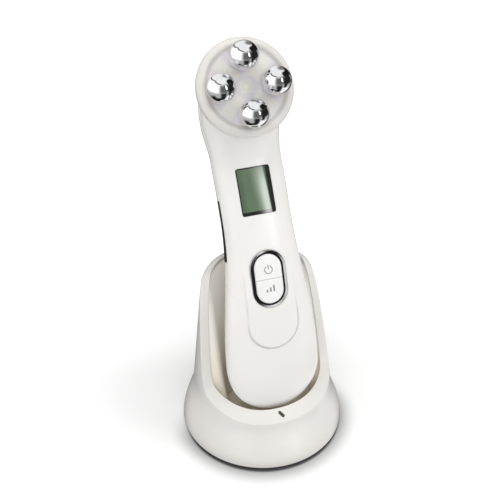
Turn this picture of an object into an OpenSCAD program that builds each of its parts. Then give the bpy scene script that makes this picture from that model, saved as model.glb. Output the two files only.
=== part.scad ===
// Hand-held facial toning device, seated in its charging stand.
// Origin at the centre of the stand's underside, +Z up, the front faces -Y, symmetric about X = 0.
// The handset is lofted along a bent spine: s is the arc length up its front face, v the depth behind it.

/* [Handset body] */
// Radius of the bend of the front face
bend_r = 270; // [250:1:300]
// Lean at which the bend ends and the neck runs straight, degrees
lean_top = 34.5; // [32:0.5:37]
// Y of the centre of the bend
bend_y = 240.5; // [239:0.5:242]
// Z of the centre of the bend
bend_z = -2.3; // [-4:0.1:-1]
// Arc length at the handset's bottom end
s_low = 25.5; // [24:0.5:27]
// Length over which the bottom end rounds off
low_round = 29; // [24:1:32]
// Width of the lower body
grip_w = 50; // [46:0.5:52]
// Width of the neck
neck_w = 36; // [34:0.5:39]
// Width of the body behind the head
nape_w = 39.5; // [36:0.5:41]
// Depth from the front face to the seam, lower body
seam_low = 6; // [5:0.5:8]
// Depth from the front face to the seam, neck
seam_neck = 7.5; // [6:0.5:9]
// Depth from the seam to the back, lower body
back_low = 21; // [18:0.5:23]
// Depth from the seam to the back, neck
back_neck = 17.5; // [15:0.5:20]
// Wall thickness of the handset's covers
wall = 2; // [1.6:0.1:2.4]
// Height of the raised front panel over the front face
panel_h = 0.6; // [0.4:0.1:1]
// Width of the raised front panel
panel_w = 26.5; // [24:0.5:30]

/* [Head] */
// Arc length at the head's centre
s_head = 200.5; // [198:0.5:203]
// Radius of the head lens
lens_r = 24.4; // [23.4:0.2:25]
// Height of the lens's widest line over the front face
lens_rise = 13.8; // [12:0.2:15]
// Width of the raised lens rim
lens_rim_w = 5; // [4:0.5:6]
// Wall of the lens
lens_wall = 1.8; // [1.4:0.1:2.2]
// Radius of the electrode balls
ball_r = 7; // [6.5:0.1:7.2]
// Distance of the electrodes from the head's centre
ball_circle_r = 13.8; // [13:0.1:14.2]
// Side of a square LED chip
chip_w = 3.5; // [3:0.5:4]

/* [Display and keys] */
// Arc length at the display's centre
s_lcd = 151.3; // [149:0.1:153]
// Width of the display window
lcd_w = 17.9; // [16:0.1:19]
// Height of the display window
lcd_h = 24.1; // [22:0.1:26]
// Arc length at the key pair's centre
s_key = 106; // [104:0.5:108]
// Outer width of the key surround
bezel_w = 18.7; // [18:0.1:20]
// Outer height of the key surround
bezel_h = 30.2; // [29:0.1:32]
// Radial width of the key surround
bezel_t = 2; // [1.6:0.1:2.4]
// Travel of each key
key_travel = 0.4; // [0.2:0.05:0.6]

/* [Stand] */
// Radius of the stand's foot
foot_r = 45; // [43:0.5:48]
// Half width of the tower, extrapolated to the ground
tower_hw = 40.3; // [39:0.1:41]
// Height of the outer rim edge at the front
rim_low = 24; // [22:0.5:26]
// Rise of the rim's steep part
rim_rise = 50.5; // [44:0.5:52]
// Width of the rim bevel at the front
bevel_front = 6.8; // [6:0.1:7.5]
// Width of the rim bevel at the sides and back
bevel_side = 4.8; // [4:0.1:5.5]
// Wall of the stand's outer shell
shell_t = 2.2; // [1.8:0.1:2.6]
// Wall of the pocket liner
liner_t = 2; // [1.6:0.1:2.4]
// Radius of the anti-slip pad under the stand
pad_disc_r = 32; // [24:0.5:40]
// Thickness of the ballast plate
ballast_t = 3; // [2:0.5:3]
// Radius of the DC inlet's barrel opening
inlet_r = 1.75; // [1.5:0.05:2.2]

/* [Hidden] */
$fn = 48;
gap = 0.15;                                  // clearance between neighbouring pieces
white = [0.93, 0.92, 0.90];
chrome = [0.75, 0.76, 0.78];
board_green = [0.10, 0.35, 0.20];

// ---- shared functions: blending and the handset's spine
function mix(a, b, t) = a + (b - a) * t;
function clamp01(x) = max(0, min(1, x));
function smooth(a, b, x) = let (t = clamp01((x - a) / (b - a))) t * t * (3 - 2 * t);
function lean(s) = min(s / bend_r * 180 / PI, lean_top);
function bend_end() = bend_r * lean_top * PI / 180;
function spine(s) = let (a = lean(s), run = max(0, s - bend_end()))
    [0, bend_y - bend_r * cos(a) + run * sin(a), bend_z + bend_r * sin(a) + run * cos(a)];
function inward(s) = [0, cos(lean(s)), -sin(lean(s))];
function at_depth(s, v) = spine(s) + v * inward(s);

// puts children on the spine: X across, Y up the body, Z out of the front face
module on_spine(s, v = 0) translate(at_depth(s, v)) rotate([90 - lean(s), 0, 0]) children();

// ---- the handset's cross section
s_top = s_head + 19.5;                       // arc length at the upper end of the body
top_round = 30;                              // length over which the upper end rounds off
function body_w(s) = grip_w - (grip_w - neck_w) * smooth(58, 138, s)
    + (nape_w - neck_w) * smooth(170, 188, s);
function seam_v(s) = mix(seam_low, seam_neck, smooth(80, 150, s));
function back_v(s) = seam_v(s) + mix(back_low, back_neck, smooth(60, 140, s));
function end_t(s) = max((s_low + low_round - s) / low_round, (s - s_top + top_round) / top_round, 0);
function narrowing(s) = pow(max(0, 1 - pow(end_t(s), 1.95)), 1 / 1.95);
function thinning(s) = pow(max(0, 1 - pow(end_t(s), 4)), 1 / 4);
function head_ramp(s) = 6 * smooth(164, 184, s) * thinning(s);
function mid_v(s) = back_v(s) / 2;
function seam_at(s) = mix(mid_v(s), seam_v(s), narrowing(s));
function front_at(s) = mid_v(s) * (1 - thinning(s)) - head_ramp(s);
function back_at(s) = mid_v(s) + mid_v(s) * thinning(s);
// point on the skin: a from 0 (right seam) over 90 (middle) to 180 (left seam), inset by off
function skin_x(s, a, off) = (body_w(s) / 2 * narrowing(s) - off)
    * sign(cos(a)) * pow(abs(cos(a)), 2 / 2.6);
function front_point(s, a, off) = at_depth(s, seam_at(s)
    - (seam_at(s) - front_at(s) - off) * pow(sin(a), 2 / 2.6)) + [skin_x(s, a, off), 0, 0];
function back_point(s, a, off) = at_depth(s, seam_at(s)
    + (back_at(s) - seam_at(s) - off) * pow(sin(a), 0.9)) + [skin_x(s, a, off), 0, 0];
function skin_point(side, s, a, off) = side > 0 ? front_point(s, a, off) : back_point(s, a, off);

rings = 30;                                  // rings along the handset's skin
arcs = 16;                                   // points across half a ring, less one
// ring stations crowd together towards both round ends
function station(i, lo, hi) = let (t = i / rings) mix(lo, hi, (t - sin(360 * t) / (2 * PI) * 0.85));
function half_loop(side, s, off) = [for (j = [0 : arcs]) skin_point(side, s, 180 * j / arcs, off)];

function tri(a, b, c, flip) = flip ? [a, c, b] : [a, b, c];
function quad(a, b, c, d, flip) = [tri(a, b, c, flip), tri(a, c, d, flip)];

// one cover as a closed shell: outer and inner half skins that meet in the seam face
module half_shell(side, lo, hi, t) {
    outer = [for (i = [1 : rings - 1]) each half_loop(side, station(i, lo, hi), 0)];
    inner = [for (i = [1 : rings - 1]) each half_loop(side, station(i, lo + t, hi - t), t)];
    w = arcs + 1;
    n = (rings - 1) * w;
    low_o = 2 * n;
    low_i = 2 * n + 1;
    top_o = 2 * n + 2;
    top_i = 2 * n + 3;
    poles = [at_depth(lo, seam_at(lo)), at_depth(lo + t, seam_at(lo + t)),
             at_depth(hi, seam_at(hi)), at_depth(hi - t, seam_at(hi - t))];
    flip = side < 0;
    last = (rings - 2) * w;
    skin_faces = [for (i = [0 : rings - 3], j = [0 : arcs - 1]) let (k = i * w + j)
        each concat(quad(k, k + 1, k + w + 1, k + w, flip),
                    quad(n + k, n + k + w, n + k + w + 1, n + k + 1, flip))];
    end_faces = [for (j = [0 : arcs - 1]) each [tri(low_o, j + 1, j, flip), tri(low_i, n + j, n + j + 1, flip),
        tri(top_o, last + j, last + j + 1, flip), tri(top_i, n + last + j + 1, n + last + j, flip)]];
    seam_faces = [for (i = [0 : rings - 3], e = [0, 1]) let (k = i * w + e * arcs)
        each quad(k, k + w, n + k + w, n + k, e == 1 ? !flip : flip)];
    pole_faces = [for (e = [0, 1]) let (k = e * arcs, f = e == 1 ? !flip : flip)
        each concat(quad(low_o, k, n + k, low_i, f), quad(last + k, top_o, top_i, n + last + k, f))];
    polyhedron(concat(outer, inner, poles), concat(skin_faces, end_faces, seam_faces, pole_faces));
}

// the whole handset as one solid, inset by off, between two stations
module body_solid(off, lo = s_low, hi = s_top) {
    loop = [for (i = [1 : rings - 1]) let (s = station(i, lo + off, hi - off))
        each concat(half_loop(1, s, off), [for (j = [arcs - 1 : -1 : 1]) back_point(s, 180 * j / arcs, off)])];
    w = 2 * arcs;
    n = (rings - 1) * w;
    poles = [at_depth(lo + off, seam_at(lo + off)), at_depth(hi - off, seam_at(hi - off))];
    sides = [for (i = [0 : rings - 3], j = [0 : w - 1]) let (k = i * w, l = (j + 1) % w)
        each quad(k + j, k + l, k + w + l, k + w + j, false)];
    ends = [for (j = [0 : w - 1]) let (l = (j + 1) % w, k = (rings - 2) * w)
        each [[n, l, j], [n + 1, k + j, k + l]]];
    polyhedron(concat(loop, poles), concat(sides, ends));
}

module slot_2d(w, h) {
    square([w, h - w], true);
    for (y = [-1, 1]) translate([0, y * (h - w) / 2]) circle(w / 2);
}
module round_rect(w, h, r) {
    square([w - 2 * r, h], true);
    square([w, h - 2 * r], true);
    for (x = [-1, 1], y = [-1, 1]) translate([x * (w / 2 - r), y * (h / 2 - r)]) circle(r);
}
// a prism between two heights over the front face, zero at the face
module prism(from, to) translate([0, 0, from]) linear_extrude(to - from) children();

// a solid through a row of closed loops, capped at both ends
module loft(loops) {
    w = len(loops[0]);
    last = (len(loops) - 1) * w;
    polyhedron([for (l = loops) each l], concat(
        [for (r = [0 : len(loops) - 2], c = [0 : w - 1]) let (d = (c + 1) % w)
            each quad(r * w + c, r * w + d, r * w + w + d, r * w + w + c, false)],
        [[for (c = [w - 1 : -1 : 0]) c], [for (c = [0 : w - 1]) last + c]]));
}

// ---- front cover
cup_top = 9.2;                               // height of the head cup's rim over the front face
cup_bore_r = 17.5;
screw_s = [48, 178];                         // stations of the case screws
screw_x = [17, 9.5];
screw_head_v = 19;                           // depth of the screw heads' seats
boss_end_v = 15.9;                           // depth at which the front bosses meet the back ones

panel_low = s_key - bezel_h / 2 - 22.5;      // lowest point of the raised panel
panel_high = panel_low + 60;                 // where it has sunk back into the face
function panel_rise(s) = mix(panel_h, -0.4, smooth(panel_low + 22, panel_high - 2, s));
panel_rows = 14;
panel_arc = [for (a = [40 : 10 : 140]) a];
module raised_panel() intersection() {
    loft([for (i = [0 : panel_rows]) let (s = mix(panel_low - 3, panel_high, i / panel_rows))
        concat([for (a = panel_arc) front_point(s, a, -panel_rise(s))],
               [for (j = [len(panel_arc) - 1 : -1 : 0]) front_point(s, panel_arc[j], 1.2)])]);
    on_spine(panel_low + panel_w / 2) translate([0, 30]) prism(-4, 8) slot_2d(panel_w, panel_w + 60);
}
module head_cup() on_spine(s_head) rotate_extrude()
    polygon([[cup_bore_r - 0.7, -3], [s_top - s_head - 0.2, -3], [lens_r - 1.2, cup_top],
             [cup_bore_r, cup_top], [cup_bore_r, 0.5], [cup_bore_r - 0.7, 0.5]]);
module grip_slot(extra) {
    lo = 117 - extra;
    hi = 149 + extra;
    steps = 6;
    function half_w(s) = mix(3, 1.2, smooth(lo, hi + 8, s)) + extra;
    edge = [for (i = [0 : steps]) mix(lo, hi, i / steps)];
    outline = concat([for (s = edge) at_depth(s, seam_v(s) + 2 - half_w(s))],
        [for (i = [steps : -1 : 0]) at_depth(edge[i], seam_v(edge[i]) + 2 + half_w(edge[i]))]);
    for (x = [-1, 1]) translate([x > 0 ? 12 : -32, 0, 0]) rotate([90, 0, 90])
        linear_extrude(20) polygon([for (p = outline) [p[1], p[2]]]);
}
module pad_holes(r) for (x = [-1, 1]) on_spine(s_low, mid_v(s_low))
    translate([x * pad_x, -3, 0]) rotate([-90, 0, 0]) cylinder(r = r, h = 8);
module front_cover() color(white) {
    difference() {
        union() {
            half_shell(1, s_low, s_top, wall);
            raised_panel();
            head_cup();
        }
        on_spine(s_head) translate([0, 0, 0.8]) cylinder(r = cup_bore_r, h = 12);
        on_spine(s_lcd) prism(-6, 6) round_rect(lcd_w, lcd_h, 1.2);
        on_spine(s_key) prism(-6, 6) slot_2d(bezel_w + 2 * gap, bezel_h + 2 * gap);
        grip_slot(gap);
        pad_holes(pad_r + gap);
    }
    difference() {
        intersection() {
            body_solid(wall / 2);
            for (i = [0, 1], x = [-1, 1]) on_spine(screw_s[i])
                translate([x * screw_x[i], 0, -boss_end_v]) cylinder(r = 3, h = boss_end_v + 2);
        }
        for (i = [0, 1], x = [-1, 1]) on_spine(screw_s[i])
            translate([x * screw_x[i], 0, -boss_end_v - 1]) cylinder(r = 1.35, h = 10);
    }
}

// ---- back cover
board_v = 14;                                // depth of the main board's front face at the keys
board_t = 1.6;
board_w = 28;
board_lo = -22;                              // ends of the board, measured from the key pair
board_hi = 56;
board_hole_x = 11.5;
board_hole_y = [-18, 28];
battery_s = 58;
battery_v = 9;
battery_size = [24, 42, 8];
module back_cover() color(white) {
    difference() {
        union() {
            half_shell(-1, s_low, s_top, wall);
            intersection() {
                body_solid(wall / 2);
                union() {
                    for (i = [0, 1], x = [-1, 1]) on_spine(screw_s[i], boss_end_v + gap)
                        translate([x * screw_x[i], 0, -20]) cylinder(r = 4.2, h = 20);
                    for (y = board_hole_y, x = [-1, 1]) on_spine(s_key, board_v + board_t + 0.1)
                        translate([x * board_hole_x, y, -20]) cylinder(r = 2.6, h = 20);
                    for (x = [-1, 1]) on_spine(battery_s, battery_v + battery_size[2] + gap)
                        translate([x * 8 - 0.8, -18, -20]) cube([1.6, 36, 20]);
                }
            }
        }
        for (i = [0, 1], x = [-1, 1]) on_spine(screw_s[i]) translate([x * screw_x[i], 0, 0]) {
            translate([0, 0, -screw_head_v - 20]) cylinder(r = 2.9, h = 20);
            translate([0, 0, -screw_head_v - 1]) cylinder(r = 1.6, h = 10);
        }
        for (y = board_hole_y, x = [-1, 1]) on_spine(s_key, board_v)
            translate([x * board_hole_x, y, -7.5]) cylinder(r = 1.05, h = 10);
        grip_slot(gap);
        pad_holes(pad_r + gap);
    }
}

// ---- head: lens, electrodes, LED board
lens_edge = 3;                               // radial width of the lens's rounded edge
lens_edge_h = 3.4;                           // height of that edge over the widest line
lens_floor = lens_rise + 1.4;                // front of the lens inside its rim
module head_lens() color([0.86, 0.83, 0.80, 0.7]) on_spine(s_head) difference() {
    rotate_extrude() polygon(concat(
        [[0, lens_floor], [lens_r - lens_rim_w - 0.3, lens_floor],
         [lens_r - lens_rim_w + 0.2, lens_rise + lens_edge_h - 0.5]],
        [for (a = [105 : -15 : 0]) [lens_r - lens_edge + lens_edge * cos(a), lens_rise + lens_edge_h * sin(a)]],
        [[lens_r - 0.5, cup_top + gap], [lens_r - 2.6, cup_top + gap],
         [lens_r - 2.6, lens_floor - lens_wall], [0, lens_floor - lens_wall]]));
    at_electrodes() cylinder(r = shoulder_r + gap, h = 30);
}
shoulder_r = 3;                              // shoulder of an electrode, below its ball
stud_r = 1.45;
board_top = cup_top + 1.5;                   // front of the LED board
module at_electrodes() for (a = [0 : 90 : 270]) rotate(a) translate([ball_circle_r, 0, 0]) children();
module electrode(angle) color(chrome) on_spine(s_head) rotate(angle) translate([ball_circle_r, 0, 0]) {
    difference() {
        translate([0, 0, lens_floor + 5.8]) sphere(ball_r);
        translate([0, 0, lens_floor + 0.1 - 10]) cylinder(r = 10, h = 10);
    }
    translate([0, 0, board_top + 0.1]) cylinder(r = shoulder_r, h = lens_floor + 1 - board_top);
    translate([0, 0, cup_top - 4]) cylinder(r = stud_r, h = 10);
}
module electrode_nuts() color(chrome) on_spine(s_head) at_electrodes() translate([0, 0, cup_top - 2.4])
    difference() {
        cylinder(r = 3.1, h = 2.3, $fn = 6);
        translate([0, 0, -1]) cylinder(r = stud_r + 0.05, h = 5);
    }
module led_board() color(board_green) on_spine(s_head) difference() {
    translate([0, 0, cup_top + 0.1]) cylinder(r = lens_r - 2.9, h = board_top - cup_top - 0.1);
    at_electrodes() cylinder(r = stud_r + gap, h = 30);
}
module led_chip() translate([0, 0, board_top + 0.6]) cube([chip_w, chip_w, 1.1], true);
module led_chips() color([0.95, 0.93, 0.85]) on_spine(s_head) {
    led_chip();
    for (a = [45 : 90 : 315], r = [9, 15.5]) rotate(a) translate([r, 0, 0]) led_chip();
}

// ---- display
module lcd_window() color([0.35, 0.42, 0.36, 0.5]) intersection() {
    loft([for (i = [0 : 5]) let (s = s_lcd + (i / 5 - 0.5) * (lcd_h + 6))
        concat([for (a = panel_arc) front_point(s, a, 0.1)],
               [for (j = [len(panel_arc) - 1 : -1 : 0]) front_point(s, panel_arc[j], 1.3)])]);
    on_spine(s_lcd) prism(-4, 6) round_rect(lcd_w - 2 * gap, lcd_h - 2 * gap, 1.1);
}
lcd_panel_v = 2.2;                           // depth of the display panel's front
lcd_panel_t = 1.8;
module lcd_panel() color([0.45, 0.55, 0.45]) on_spine(s_lcd) prism(-lcd_panel_v - lcd_panel_t, -lcd_panel_v)
    square([lcd_w - 1, lcd_h - 1], true);
module lcd_backlight() color([0.9, 0.92, 0.9]) difference() {
    on_spine(s_lcd) prism(-14, -lcd_panel_v - lcd_panel_t - 0.1) square([lcd_w - 0.4, lcd_h - 0.4], true);
    on_spine(s_key) translate([-20, 0, -board_v - 30 + 0.1]) cube([40, 80, 30]);
}

// ---- keys
bezel_top = 1;                               // height of the surround over the front face
bezel_bottom = -4.1;
key_w = bezel_w - 2 * bezel_t - 2 * gap;
key_h = bezel_h - 2 * bezel_t - 2 * gap;
key_flange = 0.8;
switch_h = 3.5;
switch_y = 6.6;                              // switches' distance from the key pair's centre
plunger_r = 1.6;
plunger_top = -board_v + switch_h + 0.7;
module key_surround() color(chrome) on_spine(s_key) difference() {
    union() {
        prism(bezel_bottom, bezel_top) slot_2d(bezel_w, bezel_h);
        prism(bezel_bottom, bezel_bottom + 1) slot_2d(bezel_w + 2.6, bezel_h + 2.6);
    }
    prism(bezel_bottom - 1, bezel_top + 1) slot_2d(bezel_w - 2 * bezel_t, bezel_h - 2 * bezel_t);
}
module key(side) color(white) on_spine(s_key) {
    intersection() {
        union() {
            prism(bezel_bottom - 1.2, bezel_top - 0.1) slot_2d(key_w, key_h);
            prism(bezel_bottom - 1.2, bezel_bottom - 0.2) slot_2d(key_w + 2 * key_flange, key_h + 2 * key_flange);
        }
        translate([-20, side > 0 ? gap : -40 - gap, -10]) cube([40, 40, 20]);
    }
    translate([0, side * switch_y, plunger_top + 0.1])
        cylinder(r = 1.5, h = bezel_bottom - 1 - plunger_top);
}
module key_switch(side) color([0.15, 0.15, 0.16]) on_spine(s_key) translate([0, side * switch_y, 0])
    difference() {
        prism(-board_v + 0.05, -board_v + switch_h) square([6.2, 6.2], true);
        translate([0, 0, -board_v + 0.6]) cylinder(r = plunger_r + 0.1, h = 10);
    }
module plunger(side) color([0.85, 0.85, 0.85]) on_spine(s_key)
    translate([0, side * switch_y, -board_v + 0.6 + key_travel + 0.15])
        cylinder(r = plunger_r, h = plunger_top - (-board_v + 0.6 + key_travel + 0.15));

// ---- grip strips
// cross section of the strip: round the flank's seam from the front face to the back
grip_arc = [54 : -18 : 0];
function grip_loop(s) = concat([for (a = grip_arc) front_point(s, a, -0.25)],
    [for (a = [18 : 18 : 54]) back_point(s, a, -0.25)],
    [for (a = [54 : -18 : 18]) back_point(s, a, wall - 0.2)],
    [for (a = [0 : 18 : 54]) front_point(s, a, wall - 0.2)]);
module grip_strip(side) color([0.12, 0.12, 0.13]) mirror([side > 0 ? 0 : 1, 0, 0]) intersection() {
    loft([for (i = [0 : 8]) grip_loop(mix(153, 114, i / 8))]);
    grip_slot(0);
}

// ---- electronics inside the handset
module on_board() on_spine(s_key, board_v) children();
module main_board() color(board_green) on_board() difference() {
    translate([-board_w / 2, board_lo, -board_t]) cube([board_w, board_hi - board_lo, board_t]);
    for (x = [-1, 1], y = board_hole_y) translate([x * board_hole_x, y, -board_t - 1]) cylinder(r = 1.1, h = 4);
}
module controller_chip() color([0.12, 0.12, 0.13]) on_board() translate([2, 16, 0.05]) cube([7, 7, 1.4]);
module pulse_transformer() color([0.75, 0.6, 0.2]) on_board() translate([-10, 15, 0.05]) cube([9, 9, 7]);
module buzzer() color([0.1, 0.1, 0.1]) on_board() translate([0, 44, -board_t - 0.05]) mirror([0, 0, 1])
    difference() {
        cylinder(r = 6, h = 4.5);
        translate([0, 0, 4]) cylinder(r = 1, h = 2);
    }
module battery() color([0.55, 0.65, 0.8]) on_spine(battery_s, battery_v + battery_size[2])
    translate([-battery_size[0] / 2, -battery_size[1] / 2, 0]) cube(battery_size);
pad_x = 6;                                   // charging pads and pins, distance from the middle
pad_r = 2.2;
module charge_pads() color([0.8, 0.68, 0.35]) for (x = [-1, 1]) on_spine(s_low, mid_v(s_low))
    translate([x * pad_x, 0.1, 0]) rotate([-90, 0, 0]) cylinder(r = pad_r, h = 2.4);
module board_screws() color(chrome) on_board() for (x = [-1, 1], y = board_hole_y)
    translate([x * board_hole_x, y, 0]) {
        translate([0, 0, 0.05]) cylinder(r = 2.1, h = 1.2);
        translate([0, 0, -7]) cylinder(r = 1, h = 7.5);
    }
module case_screws() color(chrome) for (i = [0, 1], x = [-1, 1]) on_spine(screw_s[i])
    translate([x * screw_x[i], 0, 0]) {
        translate([0, 0, -screw_head_v - 1.8]) cylinder(r = 2.6, h = 1.7);
        translate([0, 0, -screw_head_v - 0.5]) cylinder(r = 1.3, h = 12);
    }

// ---- the stand's cross section: a round foot that flares up into an oval tower
foot_z = 3;                                  // height of the upright edge of the foot
stand_low = 1;                               // underside of the outer shell
function flare(top, at_foot, z, end) = top + (foot_r - at_foot) * (1 - smooth(foot_z, end, z));
function tower_a(z) = tower_hw - 0.0877 * z;
function tower_f(z) = tower_hw - 2 - 0.13 * z;
function tower_b(z) = tower_hw - 1.3 - 0.12 * z;
function stand_a(z) = flare(tower_a(z), tower_a(foot_z), z, 28);
function stand_f(z) = -flare(tower_f(z), tower_f(foot_z), z, 22);
function stand_b(z) = flare(tower_b(z), tower_b(foot_z), z, 25);
function bow(x, n) = sign(x) * pow(abs(x), 2 / n);
function section(z, q, off) = let (n = 2 + 0.25 * smooth(foot_z, 25, z),
    f = stand_f(z) + off, b = stand_b(z) - off)
    [(stand_a(z) - off) * bow(cos(q), n), (f + b) / 2 + (b - f) / 2 * bow(sin(q), n), z];
// height of the rim's outer edge over the ground, low at the front and high behind the handset
function rim_z(y) = rim_low + 0.375 * (y - stand_f(rim_low)) + rim_rise * smooth(-12, 13, y);
function rim_at(q, lo = 10, hi = 115, k = 14) = let (z = (lo + hi) / 2) k == 0 ? z
    : z > rim_z(section(z, q, 0)[1]) ? rim_at(q, lo, z, k - 1) : rim_at(q, z, hi, k - 1);
function bevel(q) = mix(bevel_side, bevel_front, max(0, -sin(q)));
function raised(p, dz) = [p[0], p[1], p[2] + dz];

cols = 48;                                   // columns around the stand
module ring_solid(loops, closed) {
    // loops: one list of points per column; closed joins each loop's last point to its first
    rows = len(loops[0]);
    faces = [for (c = [0 : cols - 1], r = [0 : rows - (closed ? 1 : 2)])
        let (d = (c + 1) % cols, e = (r + 1) % rows)
        each quad(c * rows + r, c * rows + e, d * rows + e, d * rows + r, false)];
    caps = closed ? [] : [[for (c = [0 : cols - 1]) c * rows],
                          [for (c = [cols - 1 : -1 : 0]) c * rows + rows - 1]];
    polyhedron([for (l = loops) each l], concat(faces, caps));
}

rim_lift = 0.68;                             // rise of the bevel per width
lip_h = 2;                                   // depth of the rim's inner lip
function shell_loop(q) = let (zt = rim_at(q), b = bevel(q),
    inner_edge = raised(section(zt, q, b), b * rim_lift), steps = 11)
    concat([for (i = [0 : steps]) section(mix(stand_low, zt, pow(i / steps, 1.6)), q, 0)],
        [raised(section(zt, q, b * 0.45), b * rim_lift * 0.62), inner_edge, raised(inner_edge, -lip_h),
         raised(section(zt, q, shell_t + 0.2), -1.4)],
        [for (i = [steps - 1 : -1 : 0]) section(mix(stand_low, zt, pow(i / steps, 1.6)), q, shell_t)]);

// indicator slot in the front of the bevel
slot_w = 1.9;
slot_l = 4.2;
slot_turn = 33;
module on_bevel() {
    b = bevel_front;
    p = section(rim_low, 270, b * 0.5);
    translate(raised(p, b * rim_lift * 0.6)) rotate([atan(rim_lift), 0, 0]) children();
}
inlet_nose_r = 3.4;
module stand_shell() color(white) difference() {
    ring_solid([for (c = [0 : cols - 1]) shell_loop(360 * c / cols)], true);
    on_bevel() rotate(slot_turn) translate([0, 0, -3]) linear_extrude(6) slot_2d(slot_w, slot_l);
    translate([0, 30, inlet_z]) rotate([-90, 0, 0]) cylinder(r = inlet_nose_r + 0.25, h = 20);
}

// ---- liner: the pocket that takes the handset
seat_gap = 0.3;
floor_z = at_depth(s_low, mid_v(s_low))[2] - seat_gap;
floor_f = spine(s_low)[1] + 0.4;             // front and back of the floor
floor_b = 2.5;
floor_hw = 23;
floor_fillet = 1.6;
function floor_point(q, k, z, off) = [(floor_hw * k + off) * bow(cos(q), 2.4),
    (floor_f + floor_b) / 2 + ((floor_b - floor_f) / 2 * k + off) * bow(sin(q), 2.4), z];
function liner_top(q, off, drop) = let (b = bevel(q))
    raised(section(rim_at(q), q, b - 0.3 - off), b * rim_lift - lip_h - drop);
function liner_loop(q) = let (steps = 7, top_in = liner_top(q, 0, 1), top_out = liner_top(q, liner_t - 0.5, 3.6),
    low_in = floor_point(q, 1, floor_z + floor_fillet, 0), low_out = floor_point(q, 1, floor_z - 0.6, liner_t))
    concat([floor_point(q, 0.1, floor_z - liner_t, 0), floor_point(q, 0.88, floor_z - liner_t, 0)],
        [for (i = [0 : steps]) mix(low_out, top_out, i / steps)],
        [for (i = [steps : -1 : 0]) mix(low_in, top_in, i / steps)],
        [floor_point(q, 0.97, floor_z + 0.5, 0), floor_point(q, 0.88, floor_z, 0), floor_point(q, 0.1, floor_z, 0)]);
plate_z = 1.3;                               // underside of the bottom plate
plate_t = 2;
boss_at = [[14, -22], [14, -5]];
pin_y = at_depth(s_low, mid_v(s_low))[1];
barrel_r = 2;
module at_bosses() for (p = boss_at, x = [-1, 1]) translate([x * p[0], p[1], 0]) children();
module stand_liner() color([0.86, 0.84, 0.79]) difference() {
    union() {
        ring_solid([for (c = [0 : cols - 1]) liner_loop(360 * c / cols)], false);
        at_bosses() translate([0, 0, plate_z + plate_t + 0.1]) cylinder(r = 3, h = floor_z - plate_z - plate_t - 1);
        for (y = [pin_y + 5, 0]) translate([0, y, charge_board_z + charge_board_t + 0.05])
            cylinder(r = 1.6, h = floor_z - charge_board_z - charge_board_t - 1);
    }
    at_bosses() translate([0, 0, plate_z + plate_t - 1]) cylinder(r = 1.25, h = 8);
    for (x = [-1, 1]) translate([x * pad_x, pin_y, floor_z - 4]) cylinder(r = barrel_r + gap, h = 8);
}

// ---- inside and under the stand
ballast_z = plate_z + plate_t + 0.1;
barrel_h = 5.4;
board_drop = 0.6;                            // from a barrel's top to the pocket floor
charge_board_t = 1.6;
charge_board_z = floor_z - board_drop - barrel_h - charge_board_t;
inlet_base = charge_board_z + charge_board_t + 0.05;
inlet_z = inlet_base + inlet_nose_r;         // height of the DC inlet's axis
board_end_y = stand_b(inlet_z) - shell_t - 1.5;
inlet_face = stand_b(inlet_z) - 0.3;
module bottom_plate() color([0.85, 0.84, 0.81]) difference() {
    translate([0, 0, plate_z]) cylinder(r = foot_r - shell_t - 0.5, h = plate_t);
    at_bosses() {
        cylinder(r = 1.5, h = 10);
        cylinder(r = 2.9, h = plate_z + 1.4);
    }
}
module ballast_plate() color([0.5, 0.5, 0.52]) difference() {
    translate([0, 0, ballast_z]) cylinder(r = foot_r - 9, h = ballast_t);
    at_bosses() cylinder(r = 3.3, h = 20);
}
module base_pad() color([0.3, 0.3, 0.3]) cylinder(r = pad_disc_r, h = plate_z - 0.05);
module charge_board() color(board_green) difference() {
    translate([-9.5, pin_y - 5, charge_board_z]) cube([19, board_end_y - pin_y + 5, charge_board_t]);
    at_bosses() translate([0, 0, charge_board_z - 1]) cylinder(r = 3.3, h = 5);
}
module dc_inlet() color([0.1, 0.1, 0.1]) {
    difference() {
        union() {
            translate([-4.5, board_end_y - 11, inlet_base]) cube([9, 11, 2 * inlet_nose_r]);
            translate([0, board_end_y - 8, inlet_z]) rotate([-90, 0, 0])
                cylinder(r = inlet_nose_r, h = inlet_face - board_end_y + 8);
        }
        translate([0, inlet_face - 9, inlet_z]) rotate([-90, 0, 0]) cylinder(r = inlet_r, h = 20);
    }
    translate([0, inlet_face - 10, inlet_z]) rotate([-90, 0, 0]) cylinder(r = 0.5, h = 9);
}
pin_r = 1;
pin_top = floor_z + seat_gap - 0.15;
barrel_z = charge_board_z + charge_board_t + 0.05;
pin_low = barrel_z + 1.9;
module pin_barrel(side) color([0.8, 0.68, 0.35]) translate([side * pad_x, pin_y, 0]) difference() {
    translate([0, 0, barrel_z]) cylinder(r = barrel_r, h = barrel_h - 0.05);
    translate([0, 0, barrel_z + 0.8]) cylinder(r = pin_r + 0.05, h = 10);
}
module charge_pin(side) color([0.85, 0.73, 0.4]) translate([side * pad_x, pin_y, pin_low]) {
    cylinder(r = pin_r, h = pin_top - pin_low - pin_r);
    translate([0, 0, pin_top - pin_low - pin_r]) sphere(pin_r, $fn = 32);
}
module indicator_window() color([0.35, 0.22, 0.12]) on_bevel() rotate(slot_turn) translate([0, 0, -2.2])
    linear_extrude(2) slot_2d(slot_w - 0.2, slot_l - 0.2);
module indicator_led() color([0.9, 0.9, 0.8])
    translate([-1.5, stand_f(rim_low) + shell_t + 0.6, rim_low - 2.8]) cube([3, 1.4, 1.5]);
module plate_screws() color(chrome) at_bosses() {
    translate([0, 0, plate_z + 0.1]) cylinder(r = 2.6, h = 1.2);
    translate([0, 0, plate_z + 0.5]) cylinder(r = 1.2, h = 7);
}

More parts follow.
